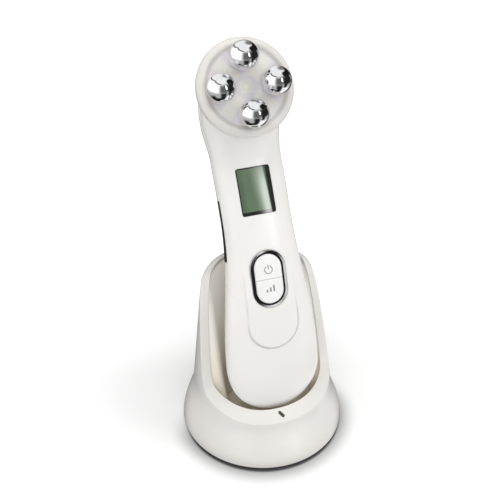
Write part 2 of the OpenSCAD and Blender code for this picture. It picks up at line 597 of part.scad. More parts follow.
front_cover();
back_cover();
head_lens();
electrode(90);  // electrode_top
electrode(0);  // electrode_right
electrode(270);  // electrode_bottom
electrode(180);  // electrode_left
electrode_nuts();
led_board();
led_chips();
lcd_window();
lcd_panel();
lcd_backlight();
key_surround();
key(1);  // power_key
key(-1);  // mode_key
key_switch(1);  // power_switch
key_switch(-1);  // mode_switch
plunger(1);  // power_plunger
plunger(-1);  // mode_plunger
grip_strip(-1);  // grip_strip_left
grip_strip(1);  // grip_strip_right
main_board();
controller_chip();
pulse_transformer();
buzzer();
battery();
charge_pads();
board_screws();
case_screws();
stand_shell();
stand_liner();
bottom_plate();
ballast_plate();
charge_board();
dc_inlet();
pin_barrel(-1);  // pin_barrel_left
pin_barrel(1);  // pin_barrel_right
charge_pin(-1);  // charge_pin_left
charge_pin(1);  // charge_pin_right
indicator_window();
indicator_led();
base_pad();
plate_screws();
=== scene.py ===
import math

import bmesh
import bpy
from mathutils import Matrix, Vector


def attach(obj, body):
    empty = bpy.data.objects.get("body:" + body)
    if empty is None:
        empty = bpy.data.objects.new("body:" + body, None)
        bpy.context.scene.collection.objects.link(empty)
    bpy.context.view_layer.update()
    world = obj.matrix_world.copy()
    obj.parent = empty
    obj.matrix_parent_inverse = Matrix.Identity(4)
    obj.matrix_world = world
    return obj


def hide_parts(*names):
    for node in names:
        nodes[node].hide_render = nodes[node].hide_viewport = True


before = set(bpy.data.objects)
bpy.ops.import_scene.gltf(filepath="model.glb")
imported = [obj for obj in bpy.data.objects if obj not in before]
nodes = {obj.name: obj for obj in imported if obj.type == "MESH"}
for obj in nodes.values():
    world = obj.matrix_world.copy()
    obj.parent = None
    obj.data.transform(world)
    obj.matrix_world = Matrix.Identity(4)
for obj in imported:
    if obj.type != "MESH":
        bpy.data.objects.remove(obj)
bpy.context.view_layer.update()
scene = bpy.context.scene

# ---- Studio: floor, light and camera
# A pale paper sweep under a soft dome, with softboxes above, at both sides and in front. Gloss and metal see a
# painted surround of white sheets, black cloths and one narrow strip light instead of the bare dome.
scene.view_settings.view_transform = "Standard"


def solid(name, bm):
    """A new object made of a bmesh, which is freed."""
    mesh = bpy.data.meshes.new(name)
    bm.to_mesh(mesh)
    bm.free()
    obj = bpy.data.objects.new(name, mesh)
    scene.collection.objects.link(obj)
    return obj


class Wire:
    """A shader socket. Arithmetic on it adds Math nodes; node() adds any other node."""

    def __init__(self, tree, socket=None):
        self.tree = tree
        self.socket = socket

    def node(self, kind, settings=None, inputs=None, out=0):
        made = self.tree.nodes.new(kind)
        for key, value in (settings or {}).items():
            setattr(made, key, value)
        for key, value in (inputs or {}).items():
            if isinstance(value, Wire):
                self.tree.links.new(made.inputs[key], value.socket)
            else:
                made.inputs[key].default_value = value
        return Wire(self.tree, made.outputs[out])

    def math(self, operation, first, second=0.0):
        return self.node("ShaderNodeMath", {"operation": operation}, {0: first, 1: second})

    def __add__(self, other):
        return self.math("ADD", self, other)

    def __sub__(self, other):
        return self.math("SUBTRACT", self, other)

    def __rsub__(self, other):
        return self.math("SUBTRACT", other, self)

    def __mul__(self, other):
        return self.math("MULTIPLY", self, other)

    def __pow__(self, other):
        return self.math("POWER", self, other)

    __radd__ = __add__
    __rmul__ = __mul__

    def abs(self):
        return self.math("ABSOLUTE", self)

    def along(self, axis):
        """This vector's length along an axis."""
        return self.node("ShaderNodeVectorMath", {"operation": "DOT_PRODUCT"}, {0: self, 1: tuple(axis)}, out=1)

    def rise(self, low, high):
        """0 below low, 1 above high, smooth between; falls where low is the larger."""
        return self.node("ShaderNodeMapRange", {"interpolation_type": "SMOOTHSTEP"},
                         {"Value": self, "From Min": low, "From Max": high})

    def mix(self, first, second):
        """The colour first where this wire is 0 and second where it is 1."""
        colours = [c if isinstance(c, Wire) else (*c, 1) for c in (first, second)]
        return self.node("ShaderNodeMix", {"data_type": "RGBA"}, {0: self, 6: colours[0], 7: colours[1]}, out=2)


def finish(name, colour, roughness, **constants):
    """A new material, its Principled shader and the wire of its Object coordinates in millimetres."""
    material = bpy.data.materials.new(name)
    material.use_nodes = True
    tree = material.node_tree
    shader = tree.nodes["Principled BSDF"]
    shader.inputs["Base Color"].default_value = (*colour, 1)
    shader.inputs["Roughness"].default_value = roughness
    for key, value in constants.items():
        shader.inputs[key.replace("_", " ")].default_value = value
    coords = Wire(tree).node("ShaderNodeTexCoord", out=3)
    place = coords.node("ShaderNodeVectorMath", {"operation": "SCALE"}, {0: coords, "Scale": 1000.0})
    return material, shader, place


def feed(shader, name, wire):
    wire.tree.links.new(shader.inputs[name], wire.socket)


def noise(place, scale, detail):
    return place.node("ShaderNodeTexNoise", inputs={"Vector": place, "Scale": scale, "Detail": detail})


def grain(shader, place, scale, height):
    """Fine moulding texture behind a Bump node, height millimetres deep."""
    pits = noise(place, scale, 2.0)
    feed(shader, "Normal", pits.node("ShaderNodeBump", inputs={"Height": pits, "Strength": 1.0,
                                                               "Distance": height / 1000}))


FLOOR_SIZE, FLOOR_DROP = 8.0, 0.0001
PAPER, FOOT_SHADE = (0.93, 0.93, 0.93), (0.03, 0.03, 0.032)
SHADE_X, SHADE_Y = -0.6, -2.2
floor_bm = bmesh.new()
bmesh.ops.create_grid(floor_bm, x_segments=1, y_segments=1, size=FLOOR_SIZE / 2)
bmesh.ops.translate(floor_bm, vec=(0, 0, -FLOOR_DROP), verts=floor_bm.verts)
floor = solid("floor", floor_bm)
floor.visible_glossy = False
paper, paper_shader, paper_place = finish("paper", PAPER, 0.9, Specular_IOR_Level=0.1)
paper_x, paper_y = paper_place.along((1, 0, 0)), paper_place.along((0, 1, 0))
# Painted shadow: the paper is painted darker in a ring round the stand's foot, strongest in front, as its contact
# shadow.
from_foot = ((paper_x - SHADE_X) ** 2 + (paper_y - SHADE_Y) ** 2) ** 0.5
wide_shade, close_shade = from_foot.rise(60, 43) ** 2 * 0.55, from_foot.rise(45.4, 43.6) * 0.4
in_front = paper_y.rise(16, -14)
feed(paper_shader, "Base Color", ((wide_shade + close_shade) * in_front).mix(PAPER, FOOT_SHADE))
paper_shader.inputs["Emission Color"].default_value = (1, 1, 1, 1)
near_fill, far_fill = from_foot.rise(50, 170) * 0.28, from_foot.rise(200, 1600) * 0.32
seen = paper_place.node("ShaderNodeLightPath", out=0)
feed(paper_shader, "Emission Strength", seen * (near_fill + far_fill))
floor.data.materials.append(paper)

DOME_LIGHT = 0.5
world = bpy.data.worlds.new("studio_dome")
scene.world = world
world.use_nodes = True
dome = world.node_tree.nodes["Background"]
dome.inputs["Color"].default_value = (1, 1, 1, 1)
backdrop = Wire(world.node_tree).node("ShaderNodeLightPath", out=0)
world.node_tree.links.new(dome.inputs["Strength"], (backdrop * (1 - DOME_LIGHT) + DOME_LIGHT).socket)

LAMP_AIM = Vector((0, 0, 0.1))


def softbox(name, size, place, power):
    """A rectangular lamp that gloss doesn't see, turned to the device. Metres and watts."""
    light = bpy.data.lights.new(name, "AREA")
    light.shape = "RECTANGLE"
    light.size, light.size_y = size
    light.energy = power
    lamp = bpy.data.objects.new(name, light)
    lamp.location = place
    lamp.rotation_euler = (LAMP_AIM - Vector(place)).to_track_quat("-Z", "Y").to_euler()
    lamp.visible_glossy = False
    scene.collection.objects.link(lamp)


softbox("softbox_top", (0.6, 0.6), (-0.08, 0.0, 1.05), 3.7)
softbox("softbox_left", (0.5, 0.8), (-0.95, -0.25, 0.5), 1.3)
softbox("softbox_right", (0.4, 0.8), (0.75, -0.42, 0.8), 3.8)
softbox("softbox_front", (0.7, 0.7), (-0.25, -0.95, 0.55), 2.5)

SURROUND_R, DEGREES = 3.0, 57.3
surround_bm = bmesh.new()
bmesh.ops.create_icosphere(surround_bm, subdivisions=4, radius=SURROUND_R)
surround = solid("surround", surround_bm)
surround.visible_camera = surround.visible_diffuse = False
surround.visible_shadow = surround.visible_transmission = False
sheets, sheets_shader, sheets_place = finish("surround_sheets", (0, 0, 0), 1.0, Specular_IOR_Level=0.0)
toward = sheets_place.node("ShaderNodeVectorMath", {"operation": "NORMALIZE"}, {0: sheets_place})
# Directions in degrees: turn is 0 in front and 90 at the right, height is 0 level and 90 overhead.
turn = toward.math("ARCTAN2", toward.along((1, 0, 0)), toward.along((0, -1, 0))) * DEGREES
height = toward.math("ARCSINE", toward.along((0, 0, 1))) * DEGREES


def band(wire, low, high, soft):
    """1 between low and high, fading to 0 over soft on either side of both."""
    return wire.rise(low - soft, low + soft) * wire.rise(high + soft, high - soft)


def past(wire, bound):
    """How far the wire is above the bound, or 0."""
    return wire.math("MAXIMUM", wire - bound, 0)


arch = height - 42 + past(turn, 88) * 0.72
seam_line = height - 54 + past(turn * -1, 115) * 0.75
behind = toward.along((0.26, 0.776, -0.575))
level = sheets_place.math("ADD", 0.95, 0)
for area, brightness in (
        (band(turn, 118, 156, 12) * band(height, -5, 62, 10), 0.2),  # grey wall at the right rear
        (band(turn, -30, 66, 16) * band(height, -12, 46, 14), 0.13),  # dark gap round the camera
        (height.rise(-6, -22), 0.5),  # grey table
        (band(turn, 28, 140, 12) * band(height, -74, -32, 7), 1.1),  # white card low at the right
        (band(turn, 42, 112, 8) * band(height, -17, 30, 6), 0.02),  # black cloth at the right
        (band(turn, 38, 66, 8) * band(height, -33, 20, 6), 0.02),  # its lower corner
        (band(turn, 56, 146, 8) * arch.abs().rise(21, 12), 0.012),  # black arch above it
        (band(turn, -175, -18, 10) * seam_line.abs().rise(5.5, 1.5), 0.08),  # joint of the white sheets
        (band(turn, -146, -38, 15) * height.rise(-16, -2) * seam_line.rise(-4, -11), 1.2),  # big white sheet
        (band(turn, -22, 26, 13) * band(height, -64, -10, 12), 0.02),  # black column below the camera
        (band(turn, -124, -66, 18) * height.rise(-26, -44), 0.01),  # black cloth low at the left
        (height.rise(-44, -60) * turn.rise(28, 6), 0.01),  # its lower edge
        (height.rise(-70, -79), 0.01),  # black under the device
        (turn.rise(17, 25) * turn.rise(31, 28) * band(height, 14, 37, 6), 4.5),  # narrow strip light
        (behind.rise(0.58, 0.74), 0.03)):  # dark backdrop, seen in the very edge of each ball
    level = level + area * (brightness - level)
sheets_shader.inputs["Emission Color"].default_value = (1, 1, 1, 1)
feed(sheets_shader, "Emission Strength", level)
surround.data.materials.append(sheets)

CAMERA_AZIMUTH, CAMERA_ELEVATION = math.radians(-18.5), math.radians(35.1)
CAMERA_DISTANCE, CAMERA_SHIFT, CAMERA_AIM = 0.432, -0.006816, 0.112896
CAMERA_LENS, CAMERA_SENSOR = 61.45, 36
level_run = math.cos(CAMERA_ELEVATION)
aim = Vector((CAMERA_SHIFT * math.cos(CAMERA_AZIMUTH), CAMERA_SHIFT * math.sin(CAMERA_AZIMUTH), CAMERA_AIM))
back = Vector((math.sin(CAMERA_AZIMUTH) * level_run, -math.cos(CAMERA_AZIMUTH) * level_run,
               math.sin(CAMERA_ELEVATION)))
camera = bpy.data.objects.new("camera", bpy.data.cameras.new("camera"))
camera.data.lens = CAMERA_LENS
camera.data.sensor_width = CAMERA_SENSOR
camera.location = aim + back * CAMERA_DISTANCE
camera.rotation_euler = (-back).to_track_quat("-Z", "Y").to_euler()
scene.collection.objects.link(camera)
scene.camera = camera

# ---- Handset covers
# Two glossy white injection-moulded shells that meet in a fine groove along the flanks, drawn along a bent spine.
# The front one carries a round cup for the head and has the display and key openings; screws enter from behind.
MM = 0.001
BEND_R, LEAN_TOP, BEND_Y, BEND_Z = 270, math.radians(34.5), 240.5, -2.3
S_LOW, LOW_ROUND, S_TOP, TOP_ROUND = 25.5, 29, 220.0, 30
S_KEY, S_LCD, S_HEAD = 106, 151.3, 200.5
BODY_W, WAIST_IN, NECK_OUT, NECK_UP = 50, 14, 3.5, 6
SEAM_LOW, SEAM_HIGH, BACK_LOW, BACK_HIGH = 6, 7.5, 21, 17.5
WAIST_SPAN, NECK_SPAN, FACE_SPAN, SEAM_SPAN, BACK_SPAN = (58, 138), (170, 188), (164, 184), (80, 150), (60, 140)
SIDE_POWER, BACK_POWER, END_POWER, THIN_POWER = 2.6, 0.9, 1.95, 4
COVER_WALL, SEAM_GROOVE, GROOVE_ANGLE = 2, 0.6, 2.2
LCD_W, LCD_H, KEY_RING_W, KEY_RING_H = 17.9, 24.1, 18.7, 30.2
LCD_CORNER, KEY_RING_GAP, THROUGH = 1.2, 0.3, 6
GRIP_LOW, GRIP_HIGH, GRIP_LEVEL, GRIP_WIDE, GRIP_NARROW, GRIP_GAP = 117, 149, 2, 3, 1.2, 0.15
CONTACT_X, CONTACT_HOLE_R = 6, 2.35
SCREW_AT = [(48, 17), (48, -17), (178, 9.5), (178, -9.5)]
SCREW_SEAT, WELL_R, WELL_END = -19, 2.9, -40
BOSS_R, BOSS_TOP, BOSS_END, BOSS_SPAN, BOSS_SINK = 4.2, SCREW_SEAT + 1.6, -28, (38, 188), 0.7
SHARP_ANGLE = math.radians(35)


def between(a, b, t):
    return a + (b - a) * t


def smooth(a, b, x):
    t = min(max((x - a) / (b - a), 0), 1)
    return t * t * (3 - 2 * t)


def lean(s):
    return min(s / BEND_R, LEAN_TOP)


def at_depth(s, v, x=0.0):
    """The point v behind the front face at arc length s, x to the side, in metres."""
    a, run = lean(s), max(0, s - BEND_R * LEAN_TOP)
    y = BEND_Y - BEND_R * math.cos(a) + run * math.sin(a) + v * math.cos(a)
    z = BEND_Z + BEND_R * math.sin(a) + run * math.cos(a) - v * math.sin(a)
    return Vector((x, y, z)) * MM


def on_spine(s, x=0.0, y=0.0):
    """The frame at arc length s: X across, Y up the body, Z out of the front face."""
    return (Matrix.Translation(at_depth(s, 0)) @ Matrix.Rotation(math.pi / 2 - lean(s), 4, "X")
            @ Matrix.Translation((x * MM, y * MM, 0)))


def end_t(s):
    """0 along the body, rising to 1 at its lower and upper tips."""
    return max((S_LOW + LOW_ROUND - s) / LOW_ROUND, (s - S_TOP + TOP_ROUND) / TOP_ROUND, 0)


def narrowing(s):
    return max(0, 1 - end_t(s) ** END_POWER) ** (1 / END_POWER)


def thinning(s):
    return max(0, 1 - end_t(s) ** THIN_POWER) ** (1 / THIN_POWER)


def body_w(s):
    return BODY_W - WAIST_IN * smooth(*WAIST_SPAN, s) + NECK_OUT * smooth(*NECK_SPAN, s)


def seam_v(s):
    return between(SEAM_LOW, SEAM_HIGH, smooth(*SEAM_SPAN, s))


def back_v(s):
    return seam_v(s) + between(BACK_LOW, BACK_HIGH, smooth(*BACK_SPAN, s))


def seam_at(s):
    return between(back_v(s) / 2, seam_v(s), narrowing(s))


def face_at(s):
    return back_v(s) / 2 * (1 - thinning(s)) - NECK_UP * smooth(*FACE_SPAN, s) * thinning(s)


def back_at(s):
    return back_v(s) / 2 * (1 + thinning(s))


def skin(side, s, a, off=0.0):
    """A point on the front (side 1) or back (-1) skin; a runs from the right seam over the middle."""
    c, d = math.cos(a), max(math.sin(a), 0)
    x = (body_w(s) / 2 * narrowing(s) - off) * math.copysign(abs(c) ** (2 / SIDE_POWER), c)
    if side > 0:
        return at_depth(s, seam_at(s) - (seam_at(s) - face_at(s) - off) * d ** (2 / SIDE_POWER), x)
    return at_depth(s, seam_at(s) + (back_at(s) - seam_at(s) - off) * d ** BACK_POWER, x)


def skin_over(s, x, off=0.0):
    """The point of the front skin that lies x to the side of the middle."""
    reach = abs(x) / (body_w(s) / 2 * narrowing(s) - off)
    a = math.acos(min(reach, 1) ** (SIDE_POWER / 2))
    return skin(1, s, a if x > 0 else math.pi - a, off)


def bend_grid(columns, rows, place):
    """A grid whose points are set by place(column, row), merged where they meet."""
    bm = bmesh.new()
    bmesh.ops.create_grid(bm, x_segments=columns, y_segments=rows, size=0.5)
    for vert in bm.verts:
        vert.co = place(round((vert.co.x + 0.5) * columns), round((vert.co.y + 0.5) * rows))
    bmesh.ops.remove_doubles(bm, verts=bm.verts, dist=1e-6)
    bmesh.ops.recalc_face_normals(bm, faces=bm.faces)
    return bm


def bend_solid(columns, rows, place):
    """A bend_grid whose open ends are closed."""
    bm = bend_grid(columns, rows, place)
    bmesh.ops.holes_fill(bm, edges=bm.edges)
    bmesh.ops.recalc_face_normals(bm, faces=bm.faces)
    return bm


def lathe(profile, matrix, steps=96):
    """A solid turned about the frame's Z axis from (radius, height) points in millimetres."""
    bm = bmesh.new()
    verts = [bm.verts.new((r, 0, z)) for r, z in profile]
    edges = [bm.edges.new(pair) for pair in zip(verts, verts[1:])]
    bmesh.ops.spin(bm, geom=verts + edges, cent=(0, 0, 0), axis=(0, 0, 1), angle=2 * math.pi, steps=steps,
                   use_merge=True)
    bmesh.ops.remove_doubles(bm, verts=bm.verts, dist=1e-4)
    bmesh.ops.scale(bm, vec=(MM, MM, MM), verts=bm.verts)
    bmesh.ops.transform(bm, matrix=matrix, verts=bm.verts)
    bmesh.ops.recalc_face_normals(bm, faces=bm.faces)
    return bm


def slot_prism(width, height, low, high, matrix, corner=None, segments=16):
    """An upright block with round corners; a full stadium where corner is left out. Millimetres."""
    corner = width / 2 if corner is None else corner
    bm = bmesh.new()
    bmesh.ops.create_cube(bm, size=1)
    bmesh.ops.scale(bm, vec=(width, height, high - low), verts=bm.verts)
    upright = [e for e in bm.edges if abs(e.verts[0].co.z - e.verts[1].co.z) > 1e-6]
    bmesh.ops.bevel(bm, geom=upright, offset=corner - 1e-4, offset_type="OFFSET", segments=segments,
                    affect="EDGES", profile=0.5, material=-1)
    bmesh.ops.remove_doubles(bm, verts=bm.verts, dist=0.002)
    bmesh.ops.translate(bm, vec=(0, 0, (low + high) / 2), verts=bm.verts)
    bmesh.ops.scale(bm, vec=(MM, MM, MM), verts=bm.verts)
    bmesh.ops.transform(bm, matrix=matrix, verts=bm.verts)
    bmesh.ops.recalc_face_normals(bm, faces=bm.faces)
    return bm


def smooth_shade(mesh):
    mesh.shade_smooth()
    mesh.set_sharp_from_angle(angle=SHARP_ANGLE)


def piece(name, bm, body, material, replaces=()):
    """Turns a bmesh into a smooth-shaded object that rides on a body."""
    obj = solid(name, bm)
    smooth_shade(obj.data)
    obj.data.materials.append(material)
    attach(obj, body)
    if replaces:
        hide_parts(*replaces)
    return obj


def shape(obj, operation, *tools):
    """Joins tools to a piece (UNION), cuts them from it (DIFFERENCE) or keeps what they share (INTERSECT)."""
    for bm in tools:
        step = obj.modifiers.new("shape", "BOOLEAN")
        step.object, step.operation, step.solver = solid("tool", bm), operation, "EXACT"
    bpy.context.view_layer.update()
    shaped = bpy.data.meshes.new_from_object(obj.evaluated_get(bpy.context.evaluated_depsgraph_get()))
    for step in list(obj.modifiers):
        bpy.data.objects.remove(step.object)
        obj.modifiers.remove(step)
    obj.data = shaped
    smooth_shade(shaped)


def gather(bm, obj):
    """Moves an object's faces into a bmesh and removes the object."""
    bm.from_mesh(obj.data)
    bpy.data.objects.remove(obj)


def grip_half_w(s):
    return between(GRIP_WIDE, GRIP_NARROW, smooth(GRIP_LOW, GRIP_HIGH + 8, s))


def grip_space(side):
    """The recess of one grip: a block through the flank, wide below and tapered above."""
    bm = bmesh.new()
    bmesh.ops.create_cube(bm, size=1)
    lengthwise = [e for e in bm.edges if abs(e.verts[0].co.y - e.verts[1].co.y) > 0.5]
    bmesh.ops.subdivide_edges(bm, edges=lengthwise, cuts=8, use_grid_fill=True)
    for vert in bm.verts:
        s = between(GRIP_LOW - GRIP_GAP, GRIP_HIGH + GRIP_GAP, vert.co.y + 0.5)
        v = seam_v(s) + GRIP_LEVEL + math.copysign(grip_half_w(s) + GRIP_GAP, vert.co.z)
        vert.co = at_depth(s, v, side * (12 if vert.co.x < 0 else 32))
    bmesh.ops.recalc_face_normals(bm, faces=bm.faces)
    return bm


def local(place, matrix):
    """How far a point is along the X and Y axes of a piece's own frame, in millimetres."""
    axes = [matrix.col[k].to_3d() for k in range(2)]
    return [place.along(axis) - axis.dot(matrix.translation / MM) for axis in axes]


def mottle(shader, place, scale, detail, first, second, rough=None, span=(0.3, 0.7)):
    """Soft clouds of two tones; rough is the least roughness and what the clouds add to it."""
    clouds = noise(place, scale, detail)
    feed(shader, "Base Color", clouds.rise(*span).mix(first, second))
    if rough:
        feed(shader, "Roughness", rough[0] + clouds * rough[1])


white, white_shader, white_place = finish("moulded_white", (0.79, 0.778, 0.75), 0.2, Coat_Roughness=0.05)
grain(white_shader, white_place, 0.45, 0.004)
mottle(white_shader, white_place, 0.035, 1.0, (0.78, 0.766, 0.737), (0.80, 0.79, 0.763), (0.15, 0.1))


def cover(side):
    """One closed shell: its outer skin over the middle and its inner skin back, with the groove at the seam."""
    angles = [0, 1.2, 2.6] + [between(4.6, 175.4, i / 48) for i in range(49)] + [177.4, 178.8, 180]
    loop = [(a, 0) for a in angles] + [(a, COVER_WALL) for a in reversed(angles[::3] + [180])]
    rows = 190

    def place(column, row):
        a, off = loop[column % len(loop)]
        t = row / rows
        s = between(S_LOW + off, S_TOP - off, t - math.sin(2 * math.pi * t) * 0.85 / (2 * math.pi))
        if row in (0, rows):
            return at_depth(s, seam_at(s))
        groove = 0 if off else SEAM_GROOVE * narrowing(s) * (1 - smooth(0, GROOVE_ANGLE, min(a, 180 - a)))
        return skin(side, s, math.radians(a), off + groove)

    return bend_grid(len(loop), rows, place)


HEAD = on_spine(S_HEAD)
CUP_PROFILE = [(15, -7.5), (17.2, -6.4), (18.5, -4.9), (19.3, -3), (20.0, -0.9), (20.7, 1.4), (21.4, 3.8),
               (22.1, 6.2), (22.75, 8.2), (22.95, 8.75), (22.9, 9.05), (22.6, 9.2), (15, 9.2), (15, -7.5)]
LOWER_TIP = Matrix.Translation(at_depth(S_LOW, back_v(S_LOW) / 2)) @ Matrix.Rotation(-lean(S_LOW), 4, "X")
front = piece("front_shell", cover(1), "handset", white, ["front_cover"])
shape(front, "UNION", lathe(CUP_PROFILE, HEAD))
lcd_hole = slot_prism(LCD_W, LCD_H, -THROUGH, THROUGH, on_spine(S_LCD), LCD_CORNER, 6)
key_hole = slot_prism(KEY_RING_W + KEY_RING_GAP, KEY_RING_H + KEY_RING_GAP, -THROUGH, THROUGH, on_spine(S_KEY))
contact_holes = [lathe([(0, -3), (CONTACT_HOLE_R, -3), (CONTACT_HOLE_R, 5), (0, 5)],
                       LOWER_TIP @ Matrix.Translation((x * MM, 0, 0)), 40) for x in (-CONTACT_X, CONTACT_X)]
shape(front, "DIFFERENCE", lcd_hole, key_hole.copy(), grip_space(1), grip_space(-1),
      *[bm.copy() for bm in contact_holes])

back_shell = piece("back_shell", cover(-1), "handset", white, ["back_cover"])
wells = [on_spine(s, x) for s, x in SCREW_AT]


def back_filling():
    """The solid space inside the back skin between the two rows of screws, which trims their bosses."""

    def place(column, row):
        return skin(-1, between(*BOSS_SPAN, row / rows), math.pi * (column % columns) / (columns - 1), BOSS_SINK)

    columns, rows = 49, 90
    return bend_solid(columns, rows, place)


for well in wells:
    boss = solid("boss", lathe([(0, BOSS_TOP), (BOSS_R, BOSS_TOP), (BOSS_R, BOSS_END), (0, BOSS_END)], well, 40))
    shape(boss, "INTERSECT", back_filling())
    trimmed = bmesh.new()
    gather(trimmed, boss)
    shape(back_shell, "UNION", trimmed)
well_profile = [(0, SCREW_SEAT), (WELL_R, SCREW_SEAT), (WELL_R, WELL_END), (0, WELL_END)]
shape(back_shell, "DIFFERENCE", grip_space(1), grip_space(-1), *contact_holes,
      *[lathe(well_profile, well, 40) for well in wells])

# ---- Raised tongue
# The front cover is moulded with a slightly raised tongue that the keys sit in, with a rounded shoulder that
# makes a crease round its lower end and sinks back into the face above.
TONGUE_W, TONGUE_LOW, TONGUE_HIGH, TONGUE_H, TONGUE_SINK = 26.5, 68.4, 126, 0.85, 0.4
SHOULDER, TONGUE_DEPTH = 0.8, 1.2
CREASE_R, CREASE_RAISE, CREASE_RIGHT, CREASE_LEFT = 0.95, 0.12, 14.0, 5.0


def eased(count):
    """count + 1 steps from -1 to 1 that draw together towards both ends."""
    return [math.sin(math.pi / 2 * (2 * k / count - 1)) for k in range(count + 1)]


def tongue():
    half, rows, across = TONGUE_W / 2, 80, eased(44)
    centre = TONGUE_LOW + half
    loop = [(u, 0) for u in across] + [(u, 1) for u in reversed(across)]

    def place(column, row):
        u, under = loop[column % len(loop)]
        t = row / rows
        if t < 0.5:
            s, reach = centre - half * math.cos(math.pi * t), half * math.sin(math.pi * t)
        else:
            s, reach = between(centre, TONGUE_HIGH, 2 * t - 1), half
        x = u * reach
        if under:
            return skin_over(s, x, TONGUE_DEPTH)
        inset = half - math.hypot(x, min(s - centre, 0))
        top = between(TONGUE_H, -TONGUE_SINK, smooth(TONGUE_LOW + 22, TONGUE_HIGH + TONGUE_SINK, s))
        fall = 1 - min(max(inset, 0) / SHOULDER, 1)
        return skin_over(s, x, -between(-TONGUE_SINK, top, math.sqrt(1 - fall * fall)))

    return bend_solid(len(loop), rows, place)


def crease():
    """The cutter for the shadow groove under the tongue's round end, which runs out up its two sides."""
    columns, rows, half = 14, 120, TONGUE_W / 2
    centre, bend_end = TONGUE_LOW + half, CREASE_RIGHT + math.pi * half
    length = bend_end + CREASE_LEFT

    def spot(way, outward):
        reach = half + outward
        if way < CREASE_RIGHT:
            return centre + CREASE_RIGHT - way, reach
        if way > bend_end:
            return centre + way - bend_end, -reach
        a = (way - CREASE_RIGHT) / half
        return centre - reach * math.sin(a), reach * math.cos(a)

    def place(column, row):
        a, way = 2 * math.pi * column / columns, length * row / rows
        r = 0.02 + CREASE_R * smooth(0, 14, way) * smooth(0, 12, length - way)
        s, x = spot(way, r * math.cos(a))
        return skin_over(s, x, r * math.sin(a) - CREASE_RAISE)

    return bend_solid(columns, rows, place)


shape(front, "DIFFERENCE", crease())
tongue_panel = piece("tongue_panel", tongue(), "handset", white)
shape(tongue_panel, "DIFFERENCE", key_hole)

# ---- Head lens
# A milky acrylic disc with a thick rounded rim, pressed over the head cup. Square LED windows show through it
# as pale patches on the diagonals, between the ball sockets.
LENS_R, LENS_FLOOR, LENS_UNDER, LENS_BACK = 24.4, 15.2, 13.4, 9.35
RIM_INNER, RIM_ROUND, RIM_MID, RIM_UP = 19.4, 3, 13.2, 2.9
lens_profile = [(0, LENS_FLOOR), (17.6, LENS_FLOOR), (18.5, 15.27), (19.4, 15.5), (20.2, 15.78), (20.8, 15.97)]
lens_profile += [(LENS_R - RIM_ROUND * (1 - math.sin(math.radians(a))), RIM_MID + RIM_UP * math.cos(math.radians(a)))
                 for a in range(0, 91, 9)]
lens_profile += [(24.35, 12.4), (24.15, 11), (23.95, 9.8), (23.7, LENS_BACK), (21.8, LENS_BACK),
                 (21.8, LENS_UNDER), (0, LENS_UNDER)]
milk, milk_shader, milk_place = finish("milky_acrylic", (0.66, 0.64, 0.62), 0.3, IOR=1.49)
head_x, head_y = local(milk_place, HEAD)
diagonal_a, diagonal_b = ((head_x + head_y) * 0.7071).abs(), ((head_x - head_y) * 0.7071).abs()
PATCH_HALF, PATCH_SOFT, PATCH_AT, MIDDLE_HALF = 3.1, 0.3, (8.8, 15.2), 3.15


def patch(a, b, half, soft):
    """1 inside a square of the given half side, fading to 0 outside."""
    return a.math("MAXIMUM", a.abs(), b.abs()).rise(half + soft, half - soft)


windows = patch(head_x, head_y, MIDDLE_HALF, PATCH_SOFT)
for near, far in ((diagonal_a, diagonal_b), (diagonal_b, diagonal_a)):
    for distance in PATCH_AT:
        windows = windows.math("MAXIMUM", windows, patch(near - distance, far, PATCH_HALF, PATCH_SOFT))
chips = patch(head_x, head_y, 1.0, 0.4)
radius = (head_x * head_x + head_y * head_y) ** 0.5
inside = radius.rise(RIM_INNER, RIM_INNER - 1.2)
haze = noise(milk_place, 0.12, 3.0)
# Painted shade: the rim is painted darker in a ring where the lens floor rises into it.
rim_tone_with_painted_shade = (radius - 19.8).abs().rise(1.5, 0.2).mix((0.68, 0.655, 0.625), (0.56, 0.535, 0.515))
floor_tone = haze.rise(0.35, 0.65).mix((0.66, 0.64, 0.68), (0.70, 0.68, 0.705))
patch_tone = haze.rise(0.3, 0.7).mix((0.73, 0.705, 0.665), (0.77, 0.745, 0.71))
tone = inside.mix(rim_tone_with_painted_shade, windows.mix(floor_tone, chips.mix(patch_tone, (0.84, 0.80, 0.71))))
feed(milk_shader, "Base Color", tone)
feed(milk_shader, "Roughness", 0.24 + haze * 0.16)
piece("head_disc", lathe(lens_profile, HEAD, 160), "handset", milk, ["head_lens"])

BALL_CIRCLE = 13.8
SOCKET_LIP = [(5.2, 14.9), (5.3, 15.2), (5.5, 15.36), (5.8, 15.42), (6.1, 15.36), (6.3, 15.2), (6.4, 14.9),
              (5.2, 14.9)]
ball_out = Matrix.Translation((BALL_CIRCLE * MM, 0, 0))
ball_frames = {side: HEAD @ Matrix.Rotation(math.radians(angle), 4, "Z") @ ball_out
               for side, angle in (("right", 0), ("top", 90), ("left", 180), ("bottom", 270))}
sockets = bmesh.new()
for ball_frame in ball_frames.values():
    gather(sockets, solid("socket", lathe(SOCKET_LIP, ball_frame, 80)))
piece("ball_sockets", sockets, "handset", milk)

